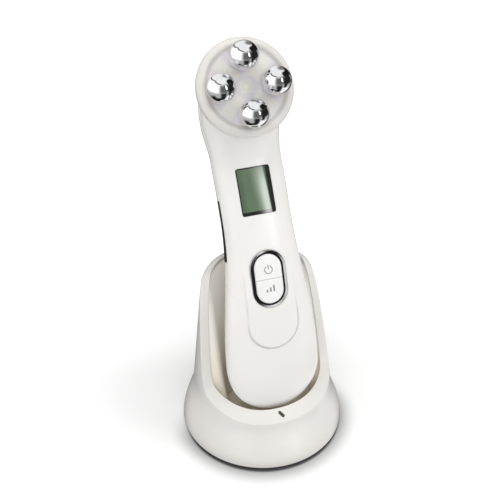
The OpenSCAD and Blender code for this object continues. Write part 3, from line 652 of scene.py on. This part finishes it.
# ---- Electrode balls
# Four solid balls of mirror-chromed steel that touch the skin. Each stands proud of the lens on a short stud,
# which goes through the lens and is held by a nut behind.
chrome, chrome_shader, chrome_place = finish("mirror_chrome", (0.86, 0.86, 0.87), 0.03, Metallic=1.0)
rub = noise(chrome_place, 1.4, 4.0)
feed(chrome_shader, "Roughness", rub.rise(0.45, 0.8) * 0.05 + 0.02)
feed(chrome_shader, "Base Color", rub.rise(0.4, 0.7).mix((0.88, 0.88, 0.89), (0.83, 0.83, 0.845)))
BALL_R, BALL_RISE, STUD_R, STUD_FOOT = 7.2, 20.65, 3, 10.8
BALL_CUT = LENS_FLOOR + 0.1
cut_angle = math.asin((BALL_CUT - BALL_RISE) / BALL_R)
ball_profile = [(0, BALL_RISE + BALL_R)]
for k in range(1, 41):
    a = between(math.pi / 2, cut_angle, k / 40)
    ball_profile.append((BALL_R * math.cos(a), BALL_RISE + BALL_R * math.sin(a)))
ball_profile += [(STUD_R, BALL_CUT), (STUD_R, STUD_FOOT), (0, STUD_FOOT)]
for side, ball_frame in ball_frames.items():
    piece("ball_" + side, lathe(ball_profile, ball_frame), "handset", chrome,
          ["electrode_" + side])

# ---- Display
# A thin acrylic window that follows the curved face, glued into its opening in the front cover. The green-grey
# LCD shows through it inside a black printed border, which is widened along the right edge by painted shade,
# and the green is painted darker towards the left as shade.
WINDOW_GAP, WINDOW_CORNER, WINDOW_SINK, WINDOW_T, WINDOW_EASE = 0.24, 1.15, 0.22, 1.2, 0.12
VIEW_LEFT, VIEW_RIGHT, VIEW_TOP, VIEW_BOTTOM = 8.3, 6.5, 11.35, 10.2
glass, glass_shader, glass_place = finish("display_window", (0.11, 0.18, 0.10), 0.04, Coat_Weight=1.0,
                                          Coat_Roughness=0.02, Coat_IOR=1.8, IOR=1.5)
lcd_x, lcd_y = local(glass_place, on_spine(S_LCD))
# Painted shade: past the right edge the black fades in slowly and wider than the print.
view_edge_and_shade = lcd_x.math("MAXIMUM", lcd_x * -1 - VIEW_LEFT, (lcd_x - VIEW_RIGHT) * 0.4)
view_edge_and_shade = view_edge_and_shade.math("MAXIMUM", view_edge_and_shade, lcd_y - VIEW_TOP)
view_edge_and_shade = view_edge_and_shade.math("MAXIMUM", view_edge_and_shade, lcd_y * -1 - VIEW_BOTTOM)
border_and_painted_shade = view_edge_and_shade.rise(-0.3, 0.2)
cells = noise(glass_place, 0.25, 2.0)
# Painted shade: the green is darker towards the left edge, mixed with random cells.
painted_shade_and_cells = lcd_x.rise(-8.5, -4.0) * 0.5 + cells * 0.5
green = painted_shade_and_cells.rise(0.2, 0.8).mix((0.085, 0.13, 0.075), (0.12, 0.18, 0.11))
feed(glass_shader, "Base Color", border_and_painted_shade.mix(green, (0.012, 0.013, 0.012)))
feed(glass_shader, "Roughness", 0.03 + cells * 0.03)


def window_plate():
    """A plate that follows the front skin, with round corners and slightly eased edges."""
    half_w, half_h, rows, across = (LCD_W - WINDOW_GAP) / 2, (LCD_H - WINDOW_GAP) / 2, 36, eased(24)
    loop, up = [(u, 0) for u in across] + [(u, WINDOW_T) for u in reversed(across)], eased(rows)

    def place(column, row):
        u, deep = loop[column % len(loop)]
        y = half_h * up[row]
        past_corner = max(0, abs(y) - (half_h - WINDOW_CORNER))
        reach = half_w - WINDOW_CORNER + math.sqrt(max(0, WINDOW_CORNER ** 2 - past_corner ** 2))
        ease = WINDOW_EASE if not deep and (abs(u) > 0.999 or row in (0, rows)) else 0
        return skin_over(S_LCD + y, u * reach, WINDOW_SINK + deep + ease)

    return bend_solid(len(loop), rows, place)


piece("display_glass", window_plate(), "handset", glass, ["lcd_window"])

# ---- Key surround
# A chromed plastic ring of stadium shape, clipped into the front cover round the keys. A small round lip runs
# along its outside, and from there its polished face slopes down to a thin black ring beside the caps: painted
# shade that stands in for the shadowed gap round them.
GAP_BLACK_IN, GAP_BLACK_OUT, GAP_BLACK_TOP, RING_FOOT, GAP_BLACK_FOOT, GAP_BLACK_CLEAR = 1.15, 2.1, -0.45, -4.1, -2.2, 0.01
LIP, LIP_TOP, FUNNEL, FACE_RUN = 0.12, 0.2, math.tan(math.radians(25)), GAP_BLACK_IN - 0.24
ring_section = [(0, RING_FOOT), (0, LIP_TOP)] + [
    (LIP - LIP * math.cos(math.radians(a)), LIP_TOP + LIP * math.sin(math.radians(a))) for a in range(20, 121, 20)]
ring_section += [(0.2 + FACE_RUN * t, LIP_TOP + 0.09 - FACE_RUN * t * FUNNEL) for t in (0, 0.06, 0.35, 0.65, 0.94, 1)]
ring_section += [(GAP_BLACK_IN, -0.5), (GAP_BLACK_IN, RING_FOOT)]
gap_black_section = [(GAP_BLACK_IN + GAP_BLACK_CLEAR, GAP_BLACK_FOOT), (GAP_BLACK_IN + GAP_BLACK_CLEAR, GAP_BLACK_TOP - 0.1), (GAP_BLACK_IN + 0.12, GAP_BLACK_TOP),
                (GAP_BLACK_OUT - 0.12, GAP_BLACK_TOP), (GAP_BLACK_OUT, GAP_BLACK_TOP - 0.1), (GAP_BLACK_OUT, GAP_BLACK_FOOT)]


def stadium(t, inset):
    """A point on the ring's outline, t from 0 to 1, moved inwards by inset."""
    r, straight = KEY_RING_W / 2, KEY_RING_H - KEY_RING_W
    way = (t % 1) * (2 * straight + 2 * math.pi * r)
    if way < straight:
        return Vector((r - inset, way - straight / 2, 0))
    if way < straight + math.pi * r:
        a = (way - straight) / r
        return Vector(((r - inset) * math.cos(a), straight / 2 + (r - inset) * math.sin(a), 0))
    if way < 2 * straight + math.pi * r:
        return Vector((inset - r, straight / 2 - (way - straight - math.pi * r), 0))
    a = math.pi + (way - 2 * straight - math.pi * r) / r
    return Vector(((r - inset) * math.cos(a), -straight / 2 + (r - inset) * math.sin(a), 0))


def swept(outline):
    """A ring of the given section, (inset, height) in millimetres, led round the keys."""
    steps = 120

    def place(column, row):
        inset, up = outline[column % len(outline)]
        return on_spine(S_KEY) @ ((stadium(row / steps, inset) + Vector((0, 0, up))) * MM)

    return bend_grid(len(outline), steps, place)


piece("key_ring", swept(ring_section), "handset", chrome, ["key_surround"])
# Painted shade: a black ring set in the gap beside the caps, standing in for the shade in that gap.
gap_black, gap_black_shader, gap_black_place = finish("gap_shade_black", (0.008, 0.008, 0.009), 0.6, Specular_IOR_Level=0.1)
mottle(gap_black_shader, gap_black_place, 1.2, 3.0, (0.006, 0.006, 0.007), (0.014, 0.014, 0.015), (0.5, 0.2), span=(0.35, 0.7))
piece("key_gap_shade", swept(gap_black_section), "handset", gap_black)

# ---- Keys
# One glossy white cap parted across the middle into two half-round keys, each with a grey printed mark: a
# circle with a stroke above, three bars of rising height below.
KEY_W, KEY_H, KEY_TOP, KEY_FOOT, PARTING = 14.4, 25.9, 0.85, -5.2, 0.1
EDGE_R, PARTING_R, CROWN_X, CROWN_Y = 0.8, 0.25, 0.25, 0.3
MARK_UP, MARK_R, MARK_LINE, BARS_DOWN, BAR_X = 5.0, 2.0, (0.3, 0.18), 6.6, 1.8
cap, cap_shader, cap_place = finish("key_white", (0.82, 0.82, 0.81), 0.15, Coat_Weight=0.3, Coat_Roughness=0.04)
key_x, key_y = local(cap_place, on_spine(S_KEY))
mark_y = key_y - MARK_UP
mark_r = (key_x * key_x + mark_y * mark_y) ** 0.5
mark_gap = key_x.abs().rise(0.9, 0.75) * mark_y.rise(0, 0.3)
circle = (mark_r - MARK_R).abs().rise(*MARK_LINE) * (1 - mark_gap)
stroke = key_x.abs().rise(*MARK_LINE) * (mark_y - 1.5).abs().rise(1.3, 1.2)
marks = circle.math("MAXIMUM", circle, stroke)
for x, bar_h in ((-BAR_X, 1.3), (0.0, 2.3), (BAR_X, 3.3)):
    up_bar = (key_y + BARS_DOWN - bar_h / 2).abs()
    bar = (key_x - x).abs().rise(0.5, 0.4) * up_bar.rise(bar_h / 2 + 0.04, bar_h / 2 - 0.04)
    marks = marks.math("MAXIMUM", marks, bar)
wear = noise(cap_place, 0.3, 2.0)
plain_cap = wear.rise(0.3, 0.7).mix((0.81, 0.81, 0.80), (0.835, 0.835, 0.83))
feed(cap_shader, "Base Color", (marks * 0.85).mix(plain_cap, (0.16, 0.16, 0.165)))
feed(cap_shader, "Roughness", 0.12 + wear * 0.08)


def rounded(near, radius):
    """How far a rounded edge has fallen where it is near to the edge, in millimetres."""
    return radius - math.sqrt(max(0, radius ** 2 - max(0, radius - near) ** 2))


def half_key(side):
    rows, half_w, centre, across = 36, KEY_W / 2, (KEY_H - KEY_W) / 2, eased(32)

    def place(column, row):
        y = between(PARTING, KEY_H / 2, (1 - math.cos(math.pi * row / rows)) / 2)
        x = math.sqrt(max(0, half_w ** 2 - max(0, y - centre) ** 2)) * across[column]
        edge = max(0, half_w - math.hypot(x, max(0, y - centre)))
        drop = rounded(edge, EDGE_R) + rounded(y - PARTING, PARTING_R)
        crown = CROWN_X * (x / half_w) ** 2 + CROWN_Y * (2 * y / KEY_H) ** 2
        return Vector((x, side * y, KEY_TOP - crown - drop)) * MM

    bm = bend_grid(len(across) - 1, rows, place)
    skirt = bmesh.ops.extrude_edge_only(bm, edges=[e for e in bm.edges if e.is_boundary])
    for vert in (v for v in skirt["geom"] if isinstance(v, bmesh.types.BMVert)):
        vert.co.z = KEY_FOOT * MM
    bmesh.ops.holes_fill(bm, edges=[e for e in bm.edges if e.is_boundary])
    bmesh.ops.transform(bm, matrix=on_spine(S_KEY), verts=bm.verts)
    bmesh.ops.recalc_face_normals(bm, faces=bm.faces)
    return bm


piece("key_cap_upper", half_key(1), "power_key_body", cap, ["power_key"])
piece("key_cap_lower", half_key(-1), "mode_key_body", cap, ["mode_key"])

# ---- Grip strips
# Soft black rubber, one strip for the thumb and one for the fingers. Each is moulded into a tapered recess of
# the flank, its crown just proud of the white shells.
GRIP_CROWN, GRIP_EDGE, GRIP_FOOT, GRIP_END = 0.45, 0.1, 1.7, 1.2
rubber, rubber_shader, rubber_place = finish("grip_rubber", (0.012, 0.012, 0.013), 0.6, Specular_IOR_Level=0.08)
dust = noise(rubber_place, 0.6, 4.0)
# Painted highlight: the rubber is painted lighter higher up the handset, mixed with random dust.
painted_sheen_and_dust = rubber_place.along((0, 0, 1)).rise(114, 146) * 0.7 + dust * 0.3
feed(rubber_shader, "Base Color", painted_sheen_and_dust.mix((0.007, 0.007, 0.008), (0.04, 0.04, 0.042)))
feed(rubber_shader, "Roughness", 0.5 + dust * 0.22)
grain(rubber_shader, rubber_place, 5.0, 0.02)


def flank(side, s, v, off):
    """The point of the flank that lies v deep, on either side of the seam."""
    if v < seam_at(s):
        d = min(1, (seam_at(s) - v) / (seam_at(s) - face_at(s))) ** (SIDE_POWER / 2)
    else:
        d = min(1, (v - seam_at(s)) / (back_at(s) - seam_at(s))) ** (1 / BACK_POWER)
    x = (body_w(s) / 2 * narrowing(s) - off) * (1 - d * d) ** (1 / SIDE_POWER)
    return at_depth(s, v, side * x)


def grip(side):
    rows, across = 64, eased(20)
    loop = [(u, GRIP_EDGE - GRIP_CROWN * math.sqrt(1 - u * u)) for u in across]
    loop += [(u, GRIP_FOOT) for u in reversed(across)]

    def place(column, row):
        u, off = loop[column % len(loop)]
        s = between(GRIP_LOW, GRIP_HIGH, (1 - math.cos(math.pi * row / rows)) / 2)
        end = min(1, min(s - GRIP_LOW, GRIP_HIGH - s) / GRIP_END)
        reach = grip_half_w(s) * math.sqrt(max(0, 1 - (1 - end) ** 2))
        return flank(side, s, seam_v(s) + GRIP_LEVEL + u * reach, off)

    return bend_grid(len(loop), rows, place)


piece("grip_left", grip(-1), "handset", rubber, ["grip_strip_left"])
piece("grip_right", grip(1), "handset", rubber, ["grip_strip_right"])

# ---- Screws
# Steel pan-head screws with a cross recess: four hold the covers together from behind, four the stand's
# bottom plate.
steel, steel_shader, steel_place = finish("screw_steel", (0.45, 0.45, 0.46), 0.3, Metallic=1.0)
mottle(steel_shader, steel_place, 3.0, 3.0, (0.38, 0.38, 0.39), (0.52, 0.52, 0.53), (0.24, 0.16))


def screws(name, frames, head_r, head_h, shank_r, shank, body, node):
    """Cross-head screws with the head's underside at the frame's origin and the shank along its -Z."""
    outline = [(0, head_h), (head_r * 0.55, head_h * 0.97), (head_r * 0.85, head_h * 0.75), (head_r, head_h * 0.35),
               (head_r, 0), (shank_r, 0), (shank_r, -shank + 0.6), (0, -shank)]
    whole = bmesh.new()
    for frame_at in frames:
        screw = solid("screw", lathe(outline, frame_at, 40))
        shape(screw, "DIFFERENCE",
              *[slot_prism(head_r * width, head_r * length, head_h * 0.35, head_h * 2, frame_at, 0.05, 2)
                for width, length in ((0.24, 1.15), (1.15, 0.24))])
        gather(whole, screw)
    piece(name, whole, body, steel, [node])


PLATE_SCREW_X, PLATE_SCREW_Y, PLATE_SCREW_Z = (-14, 14), (-22, -5), 2.6
turn_back = Matrix.Rotation(math.pi, 4, "X")
screws("cover_screws", [well @ Matrix.Translation((0, 0, (SCREW_SEAT - 0.1) * MM)) @ turn_back for well in wells],
       head_r=2.6, head_h=1.7, shank_r=1.3, shank=11.5, body="handset", node="case_screws")
screws("plate_screw_set", [Matrix.Translation((x * MM, y * MM, PLATE_SCREW_Z * MM)) @ turn_back
                           for x in PLATE_SCREW_X for y in PLATE_SCREW_Y],
       head_r=2.6, head_h=1.2, shank_r=1.2, shank=4.9, body="stand", node="plate_screws")

# ---- Boards and parts inside the handset and the stand
# Green solder-masked boards with copper traces, black moulded chips and switches, a wound transformer, a
# shrink-wrapped flat cell, cream LED chips, gilt contacts and the white carriers that hold them.


def dress(material, *names):
    """Gives CAD nodes that stay in view a material of this file."""
    for name in names:
        for slot in nodes[name].material_slots:
            slot.material = material


mask, mask_shader, mask_place = finish("solder_mask", (0.02, 0.12, 0.06), 0.3, Coat_Weight=0.3)
lanes = mask_place.node("ShaderNodeTexVoronoi", {"distance": "MANHATTAN", "feature": "DISTANCE_TO_EDGE"},
                        {"Vector": mask_place, "Scale": 0.42})
pads = mask_place.node("ShaderNodeTexVoronoi", {"distance": "CHEBYCHEV"}, {"Vector": mask_place, "Scale": 0.3})
traced = lanes.rise(0.09, 0.05).mix((0.018, 0.11, 0.055), (0.03, 0.19, 0.09))
feed(mask_shader, "Base Color", pads.rise(0.2, 0.17).mix(traced, (0.55, 0.5, 0.36)))
feed(mask_shader, "Roughness", 0.26 + lanes * 0.3)
dress(mask, "main_board", "led_board", "charge_board")

moulded, moulded_shader, moulded_place = finish("black_moulding", (0.018, 0.018, 0.02), 0.45)
mottle(moulded_shader, moulded_place, 4.0, 4.0, (0.014, 0.014, 0.016),
       (0.03, 0.03, 0.032), (0.38, 0.2), span=(0.35, 0.7))
grain(moulded_shader, moulded_place, 6.0, 0.01)
dress(moulded, "controller_chip", "buzzer", "power_switch", "mode_switch")

coil, coil_shader, coil_place = finish("copper_winding", (0.5, 0.24, 0.1), 0.35, Metallic=0.8)
turns = coil_place.node("ShaderNodeTexWave", {"bands_direction": "Z"}, {"Vector": coil_place, "Scale": 1.2})
feed(coil_shader, "Base Color", turns.mix((0.26, 0.11, 0.04), (0.62, 0.33, 0.14)))
dress(coil, "pulse_transformer")

wrap, wrap_shader, wrap_place = finish("cell_wrap", (0.25, 0.34, 0.5), 0.3, Coat_Weight=0.3)
mottle(wrap_shader, wrap_place, 0.4, 5.0, (0.2, 0.29, 0.46), (0.3, 0.4, 0.56), (0.22, 0.2))
dress(wrap, "battery")

gilt, gilt_shader, gilt_place = finish("gilt_contact", (0.83, 0.62, 0.28), 0.22, Metallic=1.0)
mottle(gilt_shader, gilt_place, 2.0, 3.0, (0.85, 0.65, 0.31), (0.66, 0.46, 0.2), (0.16, 0.16), span=(0.35, 0.75))
dress(gilt, "charge_pads", "pin_barrel_left", "pin_barrel_right", "charge_pin_left", "charge_pin_right")

cream, cream_shader, cream_place = finish("led_cream", (0.8, 0.72, 0.45), 0.25, Coat_Weight=0.5)
mottle(cream_shader, cream_place, 1.5, 2.0, (0.78, 0.66, 0.32), (0.86, 0.8, 0.6))
dress(cream, "led_chips", "indicator_led")

carrier, carrier_shader, carrier_place = finish("carrier_white", (0.72, 0.72, 0.70), 0.45)
mottle(carrier_shader, carrier_place, 0.08, 3.0, (0.69, 0.69, 0.67), (0.76, 0.76, 0.74))
grain(carrier_shader, carrier_place, 2.0, 0.008)
dress(carrier, "lcd_backlight", "power_plunger", "mode_plunger", "bottom_plate")

crystal, crystal_shader, crystal_place = finish("lcd_cell", (0.28, 0.36, 0.24), 0.25)
lattice = crystal_place.node("ShaderNodeTexBrick", {"offset": 0.0}, {
    "Vector": crystal_place, "Scale": 1.0, "Color1": (0.27, 0.35, 0.23, 1), "Color2": (0.30, 0.38, 0.25, 1),
    "Mortar": (0.2, 0.27, 0.17, 1), "Mortar Size": 0.03, "Brick Width": 2.0, "Row Height": 2.0})
feed(crystal_shader, "Base Color", lattice)
dress(crystal, "lcd_panel")
dress(steel, "electrode_nuts", "board_screws", "ballast_plate")

# ---- Stand shell
# One glossy white moulding: a round foot that flares up into an oval tower, with a broad sloping rim that is low
# in front and sweeps up behind the handset, and a short lip that turns down into the pocket.
FOOT_R, FOOT_Z, SHELL_T, EDGE_SOFT = 45, 3, 2.2, 0.9
# The tower's reach to the sides, front and back: at height 0, its taper, and the height where the foot ends.
TOWER_SIDE, TOWER_FRONT, TOWER_BACK = (40.3, 0.0877, 28), (38.3, 0.13, 22), (39, 0.12, 25)
RIM_LOW, RIM_SLOPE, RIM_RISE, RIM_LIFT = 24, 0.375, 50.5, 0.68
BEVEL_SIDE, BEVEL_FRONT = 4.8, 6.8
STAND_COLUMNS = 168


def flare(tower, z):
    """The stand's reach at height z, where the tower widens to the round foot."""
    reach, taper, foot_end = tower
    return reach - taper * z + (FOOT_R - reach + taper * FOOT_Z) * (1 - smooth(FOOT_Z, foot_end, z))


def stand_front(z):
    return -flare(TOWER_FRONT, z)


def bow(x, n):
    return math.copysign(abs(x) ** (2 / n), x)


def section(z, q, off):
    """A point of the stand's outline at height z, q round from the right side over the back, inset by off."""
    n = 2 + 0.25 * smooth(FOOT_Z, 25, z)
    half = flare(TOWER_SIDE, z) - off
    near, far = stand_front(z) + off, flare(TOWER_BACK, z) - off
    return Vector((half * bow(math.cos(q), n), (near + far) / 2 + (far - near) / 2 * bow(math.sin(q), n), z))


def rim_at(q):
    """The height of the rim's outer edge at q, found by halving."""
    low, high = 10.0, 115.0
    for step in range(22):
        z = (low + high) / 2
        y = section(z, q, 0).y
        if z > RIM_LOW + RIM_SLOPE * (y - stand_front(RIM_LOW)) + RIM_RISE * smooth(-12, 13, y):
            high = z
        else:
            low = z
    return z


def bevel_width(q):
    return between(BEVEL_SIDE, BEVEL_FRONT, max(0, -math.sin(q)))


def shell_profile(q):
    """The closed outline of the wall at q: up the outside, over the rim's bevel and lip, and down inside."""
    rim, b = rim_at(q), bevel_width(q)
    top = b * RIM_LIFT
    crown = [(EDGE_SOFT * x, EDGE_SOFT * up)
             for x, up in ((0, -1), (0.03, -0.55), (0.16, -0.15), (0.42, 0.18), (0.8, 0.5))]
    slope = [(b * t, top * (t + 0.35 * t * (1 - t))) for t in (0.3, 0.45, 0.6, 0.75, 0.88)]
    lip = [(b - 0.35, top - 0.12), (b - 0.12, top - 0.18), (b, top - 0.5), (b, top - 2), (SHELL_T + 0.2, -1.4)]
    wall = [1 + (rim - EDGE_SOFT - 1) * (k / 34) ** 1.25 for k in range(35)]
    loop = [section(1, q, SHELL_T), section(1, q, 0.5), section(1.12, q, 0.15)]
    loop += [section(z, q, 0) for z in [1.45] + wall[1:-1]]
    loop += [section(rim, q, off) + Vector((0, 0, up)) for off, up in crown + slope + lip]
    loop += [section(z, q, SHELL_T) for z in reversed(wall[:-1:6])][:-1]
    return loop


profiles = [shell_profile(2 * math.pi * k / STAND_COLUMNS) for k in range(STAND_COLUMNS)]
stand_white, stand_shader, stand_place = finish("stand_white", (0.725, 0.707, 0.673), 0.2, Coat_Roughness=0.05)
grain(stand_shader, stand_place, 0.4, 0.004)
mottle(stand_shader, stand_place, 0.03, 1.0, (0.715, 0.695, 0.658), (0.735, 0.719, 0.688), (0.16, 0.1))


def shell_point(column, row):
    return profiles[row % STAND_COLUMNS][column % len(profiles[0])] * MM


shell = piece("stand_outer", bend_grid(len(profiles[0]), STAND_COLUMNS, shell_point), "stand",
              stand_white, ["stand_shell"])
SLOT_W, SLOT_L, SLOT_TURN, INLET_HOLE_R, INLET_Y, INLET_Z = 1.9, 4.2, math.radians(33), 3.65, 30, 19.04
front_rim = section(RIM_LOW, math.radians(270), BEVEL_FRONT / 2)
SLOT_FRAME = (Matrix.Translation((front_rim + Vector((0, 0, BEVEL_FRONT * RIM_LIFT * 0.6))) * MM)
              @ Matrix.Rotation(math.atan(RIM_LIFT), 4, "X") @ Matrix.Rotation(SLOT_TURN, 4, "Z"))
INLET_AXIS = Matrix.Translation((0, INLET_Y * MM, INLET_Z * MM)) @ Matrix.Rotation(-math.pi / 2, 4, "X")
shape(shell, "DIFFERENCE", slot_prism(SLOT_W, SLOT_L, -3, 3, SLOT_FRAME),
      lathe([(0, 0), (INLET_HOLE_R, 0), (INLET_HOLE_R, 20), (0, 20)], INLET_AXIS, 48))

# ---- Pocket liner
# A separate warm white moulding that lines the pocket. It hangs from under the shell's lip and narrows down to a
# flat seat, with two holes for the spring pins.
SEAT_Z, SEAT_FRONT, SEAT_BACK, SEAT_HALF, SEAT_POWER, PIN_HOLE_R = 21.59, -27.9, 2.5, 23, 2.4, 2.15
# The liner's upper edge, inside and outside: how far it lies out from the lip's edge, and how far below.
EDGE_IN, EDGE_OUT = (0.3, 3), (1.8, 5.6)


def seat_point(q, k, z, off=0):
    half = (SEAT_BACK - SEAT_FRONT) / 2
    return Vector(((SEAT_HALF * k + off) * bow(math.cos(q), SEAT_POWER),
                   SEAT_FRONT + half + (half * k + off) * bow(math.sin(q), SEAT_POWER), z))


def liner_profile(q):
    """The outline of the liner at q: out under the seat, up behind the wall, and down inside to the middle."""
    rim, b = rim_at(q), bevel_width(q)
    top_in, top_out = [section(rim, q, b - out) + Vector((0, 0, b * RIM_LIFT - down))
                       for out, down in (EDGE_IN, EDGE_OUT)]
    low_in, low_out = seat_point(q, 1, SEAT_Z + 1.6), seat_point(q, 1, SEAT_Z - 0.6, 2)
    under = [seat_point(q, k, SEAT_Z - 2) for k in (0, 0.45, 0.88)]
    outer = [low_out.lerp(top_out, k / 8) for k in range(9)]
    inner = [top_in.lerp(low_in, k / 26) for k in range(27)]
    foot = [seat_point(q, k, SEAT_Z + up) for k, up in ((0.995, 0.9), (0.97, 0.4), (0.93, 0.1))]
    return under + outer + inner + foot + [seat_point(q, k, SEAT_Z) for k in (0.88, 0.6, 0.3, 0)]


pocket = [liner_profile(2 * math.pi * k / STAND_COLUMNS) for k in range(STAND_COLUMNS)]
liner, liner_shader, liner_place = finish("liner_white_painted_shade", (0.82, 0.76, 0.65), 0.3)
depth = liner_place.along((0, 0, 1))
veil = noise(liner_place, 0.05, 2.0)
# Painted shade: the liner is painted darker and tan towards the bottom of the pocket, mixed with random clouds.
painted_shade_and_veil = depth.rise(22, 84) * 0.85 + veil * 0.15
feed(liner_shader, "Base Color", painted_shade_and_veil.mix((0.74, 0.68, 0.56), (0.97, 0.94, 0.89)))
feed(liner_shader, "Roughness", 0.24 + veil * 0.14)
grain(liner_shader, liner_place, 0.8, 0.006)


def liner_point(column, row):
    return pocket[row % STAND_COLUMNS][column] * MM


lining = piece("pocket_liner", bend_grid(len(pocket[0]) - 1, STAND_COLUMNS, liner_point), "stand",
               liner, ["stand_liner"])
pin_hole = [(0, SEAT_Z - 4), (PIN_HOLE_R, SEAT_Z - 4), (PIN_HOLE_R, SEAT_Z + 4), (0, SEAT_Z + 4)]
shape(lining, "DIFFERENCE", *[lathe(pin_hole, Matrix.Translation((x * MM, LOWER_TIP.translation.y, 0)), 40)
                              for x in (-CONTACT_X, CONTACT_X)])

# ---- Indicator
# A small lens of smoked acrylic, pushed from below into its slanting slot in the front of the rim. An LED behind
# it lights it while the handset charges.
LENS_GAP, LENS_TOP, LENS_LOW = 0.18, -0.2, -2.2
smoke, smoke_shader, smoke_place = finish("smoked_lens", (0.035, 0.018, 0.010), 0.12, Coat_Weight=0.6)
mottle(smoke_shader, smoke_place, 1.5, 2.0, (0.03, 0.015, 0.008), (0.07, 0.04, 0.022))
piece("indicator_lens", slot_prism(SLOT_W - LENS_GAP, SLOT_L - LENS_GAP, LENS_LOW, LENS_TOP, SLOT_FRAME), "stand",
      smoke, ["indicator_window"])

# ---- Foot pad and inlet
# A grey rubber disc with moulded anti-slip rings, glued under the bottom plate, and a black moulded DC inlet with
# a steel centre pin, held in the rear wall of the stand.
PAD_T, PAD_GROOVE, RING_W, RING_SIDE, CORE_R = 1.25, 0.35, 4, 0.3, 0.57
pad, pad_shader, pad_place = finish("pad_rubber", (0.05, 0.05, 0.052), 0.7)
mottle(pad_shader, pad_place, 1.0, 5.0, (0.042, 0.042, 0.044), (0.09, 0.09, 0.09), span=(0.35, 0.75))
grain(pad_shader, pad_place, 3.0, 0.03)
rings = [(0, PAD_GROOVE)]
for inner_r in (5, 11, 17, 23):
    outer_r = inner_r + RING_W
    rings += [(inner_r, PAD_GROOVE), (inner_r + RING_SIDE, 0.0), (outer_r, 0.0), (outer_r + RING_SIDE, PAD_GROOVE)]
rings += [(29, PAD_GROOVE), (29.3, 0.0), (31.6, 0.0), (32, 0.3), (32, PAD_T), (0, PAD_T)]
piece("foot_pad", lathe(rings, Matrix.Identity(4)), "stand", pad, ["base_pad"])

jack, jack_shader, jack_place = finish("inlet_black", (0.02, 0.02, 0.022), 0.35)
pin_x, pin_y = local(jack_place, INLET_AXIS)
core = ((pin_x * pin_x + pin_y * pin_y) ** 0.5).rise(CORE_R + 0.05, CORE_R - 0.05)
rough = noise(jack_place, 3.0, 3.0)
housing = rough.rise(0.3, 0.7).mix((0.015, 0.015, 0.017), (0.03, 0.03, 0.032))
feed(jack_shader, "Base Color", core.mix(housing, (0.6, 0.6, 0.58)))
feed(jack_shader, "Metallic", core)
feed(jack_shader, "Roughness", 0.28 + rough * 0.2)
dress(jack, "dc_inlet")
